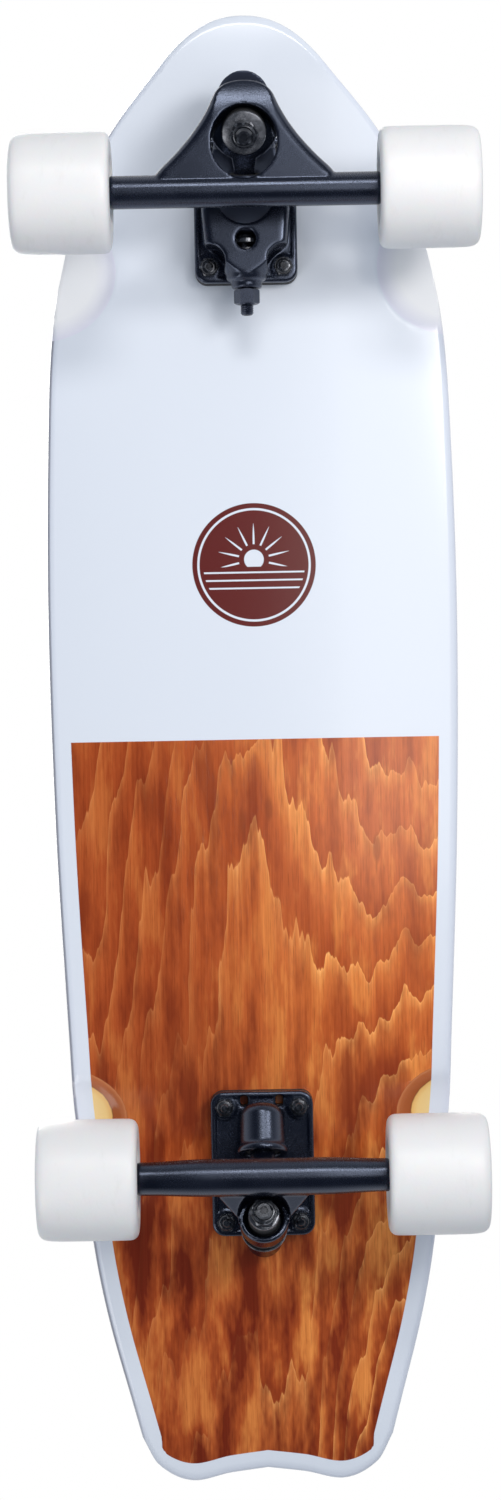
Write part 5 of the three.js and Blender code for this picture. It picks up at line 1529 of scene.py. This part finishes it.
def makeRearBaseplate():
    truck = trucks["rear"]
    ring, axis, steer = truck["ring"], truck["axis"], truck["steer"]
    mouth = truck["closed"] - truck["cupDepth"] - rearPlate["lipLength"] / 2
    end = mouth + rearPlate["length"]
    wide, rim = rearPlate["housing"], rearPlate["housing"] + rearPlate["lip"]
    shell = spun([(0, mouth), (rim - 0.5, mouth), (rim, mouth + 0.5), (rim, mouth + 2.6),
                  (wide + 0.3, mouth + 4.2), (wide, mouth + 5), (wide, end - 6.25), (wide * 0.94, end - 4),
                  (wide * 0.8, end - 2), (wide * 0.5, end - 0.4), (0, end)], ring, steer, 64)
    item = plateBlank("rear_baseplate_casting")
    combine(item, "UNION", [shell, bar(rearPlate["boss"], stack["seat"], 50, ring, -axis)])
    above = sideRaised([(-90, plateShape["top"]), (90, plateShape["top"]), (90, 60), (-90, 60)], 60)
    combine(item, "DIFFERENCE", [above, *seatDrills(truck)] + boltDrills(-20) + rearWindows(-15))
    softened(item, 0.7, 3)
    place(settle(item, truck["offset"], 0), ["rear_baseplate"], "casting", casting)


web = {"half": 29, "tailHalf": 14, "top": -43, "bottom": -68, "rounding": 1.6, "rib": 5, "ring": 13.4,
       "skirt": 10, "bore": 10.6, "nutClear": 8.9, "nutSwing": 5.2}


def webSide(truck):
    # the web's outline from the side, from the bar down to the skirt
    thick, axleY, ringY = axleShape["bar"], truck["axleY"], truck["ringY"]
    skirt = truck["ring"] + truck["axis"] * web["skirt"]
    return sideRaised([
        (axleY + thick / 2, web["bottom"] + thick / 2), (axleY + thick / 2, -board["axleDrop"] + thick / 2),
        (axleY - thick, web["top"]), (ringY - 2, truck["ringZ"] - 4), (ringY - 2, skirt.z - 4),
        (skirt.y + 2, skirt.z - 4), (axleY - thick / 2, web["bottom"])], web["half"] + overrun)


def ribShape(truck):
    # the rib between the bar and the ring, under the pivot pin
    thick, axleY, ringEnd = axleShape["bar"], truck["axleY"], truck["ringY"] + web["ring"]
    ribTop = (truck["pivotZ"] + truck["ringZ"]) / 2
    return sideRaised([
        (axleY + thick / 4, -board["axleDrop"]), (axleY + thick, ribTop), (ringEnd, ribTop - thick / 2),
        (ringEnd, web["top"] + 4), (axleY - thick / 4, -board["axleDrop"])], web["rib"])


def makeRearHanger():
    truck = trucks["rear"]
    ring, axis, ringY, axleY = truck["ring"], truck["axis"], truck["ringY"], truck["axleY"]
    half, rim, skirt, barHalf = stack["ringHalf"], web["ring"], web["skirt"], axleShape["bar"] / 2
    wide, narrow = web["half"], web["tailHalf"]
    plan = mirrored([(wide, axleY + barHalf), (wide, axleY - barHalf), (narrow, ringY + 4), (narrow, ringY)])
    shape = raised(plan, web["bottom"], truck["ringZ"], rounding=web["rounding"])
    item = objectFrom(shape, "rear_hanger_casting")
    skirtProfile = [(0, -half), (rim - 1, -half), (rim, 1 - half), (rim, skirt - 1), (rim - 1, skirt),
                    (0, skirt)]
    combine(item, "INTERSECT", [webSide(truck)])
    combine(item, "UNION", [
        barShape(truck),
        ribShape(truck),
        spun(skirtProfile, ring, axis, 64),
        pinShape(truck),
    ])
    clear = roundedRectangle(2 * (web["nutClear"] + web["nutSwing"]), 2 * web["nutClear"], web["nutClear"])
    combine(item, "DIFFERENCE", [
        bar(web["bore"], half, skirt + overrun, ring, axis, 64),
        raised(clear, skirt - stack["gap"], stack["nutEnd"] + 1.5, ring, axis),
    ] + hangerDrills(truck))
    softened(item, 0.7, 4)
    place(settle(item, truck["offset"], 0), ["rear_hanger"], "casting", casting)


riserPiece("front")
riserPiece("rear", rearWindows(-8))
makeFrontBaseplate()
makeSwingArm()
makeFrontHanger()
makeSpringCoil()
makePlunger()
makeAdjuster()
makeRearBaseplate()
makeRearHanger()
print("castings and spring made")

# CAD nodes that keep their own shape
kept = {
    "front_swivel_bolt": blackSteel, "front_swivel_bearing": zincSteel, "front_thrust_washer": zincSteel,
    "front_pivot_cup": cupPlastic, "rear_pivot_cup": cupPlastic,
}

for name, material in kept.items():
    data = frame["nodes"][name].data
    data.materials.clear()
    data.materials.append(material)


# Floor, light and background

studio = {
    "floorZ": -0.4,
    "floorHalf": 6000,
    "floor": ((0.86, 0.86, 0.87, 1), (0.88, 0.88, 0.885, 1)),
    "floorFades": (450.0, 1500.0),
    "plain": (0.77, 0.875, 1.0, 1),
    "plainStrength": 0.34,
    "room": (0.5, 0.62, 0.85, 1),
    "roomStrength": 0.09,
    "roomStarts": (0.05, -0.55),
    "lamp": (1.0, 0.965, 0.915),
}


def addFloor():
    # pale from above and clear from below, where the photograph was taken from
    shape = bmesh.new()
    bmesh.ops.create_grid(shape, x_segments=2, y_segments=2, size=studio["floorHalf"])
    item = settle(objectFrom(shape, "floor"), (0, 0, studio["floorZ"]), 0)
    material, tree, shader = newMaterial("floorPale", Roughness=0.85, Specular_IOR_Level=0.1)
    where = millimetres(tree)
    cloud = stretchedNoise(tree, where, (0.004, 0.004, 0.0), detail=2)
    feed(tree, shader, Base_Color=mixColours(tree, cloud, *studio["floor"]))
    path = addNode(tree, "ShaderNodeLightPath").outputs
    behind = addNode(tree, "ShaderNodeNewGeometry").outputs["Backfacing"]
    reach = addNode(tree, "ShaderNodeVectorMath", {0: where}, operation="LENGTH").outputs["Value"]
    clear = largest(tree, behind, path["Is Shadow Ray"], path["Is Diffuse Ray"], path["Is Glossy Ray"],
                    rampMask(tree, reach, *studio["floorFades"]))
    see = addNode(tree, "ShaderNodeBsdfTransparent")
    mix = addNode(tree, "ShaderNodeMixShader", {0: clear, 1: shader.outputs[0], 2: see.outputs[0]})
    feed(tree, tree.nodes["Material Output"], Surface=mix.outputs[0])
    item.data.materials.append(material)


def addWorld():
    world = bpy.data.worlds.new("studio")
    bpy.context.scene.world = world
    world.use_nodes = True
    tree = world.node_tree
    path = addNode(tree, "ShaderNodeLightPath").outputs
    seen = largest(tree, path["Is Camera Ray"], path["Is Glossy Ray"], path["Is Transmission Ray"])
    plain = tree.nodes["Background"]
    plain.inputs["Color"].default_value = studio["plain"]
    plain.inputs["Strength"].default_value = studio["plainStrength"]
    white = addNode(tree, "ShaderNodeBackground", {"Color": (1, 1, 1, 1), "Strength": 1.0})
    mix = addNode(tree, "ShaderNodeMixShader", {0: seen, 1: plain.outputs[0], 2: white.outputs[0]})
    # the white backdrop ends below the board, where a reflection meets a dim room
    direction = addNode(tree, "ShaderNodeTexCoord").outputs["Generated"]
    up = addNode(tree, "ShaderNodeSeparateXYZ", {0: direction}).outputs["Z"]
    under = multiply(tree, path["Is Glossy Ray"], rampMask(tree, up, *studio["roomStarts"]))
    inputs = {"Color": studio["room"], "Strength": studio["roomStrength"]}
    room = addNode(tree, "ShaderNodeBackground", inputs)
    last = addNode(tree, "ShaderNodeMixShader", {0: under, 1: mix.outputs[0], 2: room.outputs[0]})
    feed(tree, tree.nodes["World Output"], Surface=last.outputs[0])


lamps = {
    "soft": {"at": (-0.375, 0.36, -1.35), "to": (-0.375, 0.36, 0.1), "size": (0.62, 1.0), "power": 5.5},
    "front": {"at": (-0.1, 1.66, -1.9), "to": (-0.02, 0.1, 0.08), "size": (0.9, 0.36), "power": 15.5},
    "key": {"at": (-0.78, 0.5, -1.15), "to": (-0.02, 0.05, 0.08), "size": (0.3, 0.6), "power": 7.6},
    "fill": {"at": (1.0, -0.95, -0.95), "to": (0, -0.1, 0.08), "size": (0.6, 1.0), "power": 6.5},
    "high": {"at": (0.5, 0.6, 1.7), "to": (0, 0, 0.1), "size": (1.2, 1.6), "power": 22.0},
}


def addLamp(name, values):
    data = bpy.data.lights.new(name, "AREA")
    data.shape = "RECTANGLE"
    data.size, data.size_y = values["size"]
    data.energy = values["power"]
    data.color = studio["lamp"]
    item = bpy.data.objects.new(name, data)
    bpy.context.scene.collection.objects.link(item)
    at = Vector(values["at"])
    turn = (Vector(values["to"]) - at).to_track_quat("-Z", "Y").to_matrix().to_4x4()
    item.matrix_world = Matrix.Translation(at) @ turn


addFloor()
addWorld()
for name, values in lamps.items():
    addLamp(name, values)
bpy.context.scene.view_settings.view_transform = "Standard"
print("stage and light set")
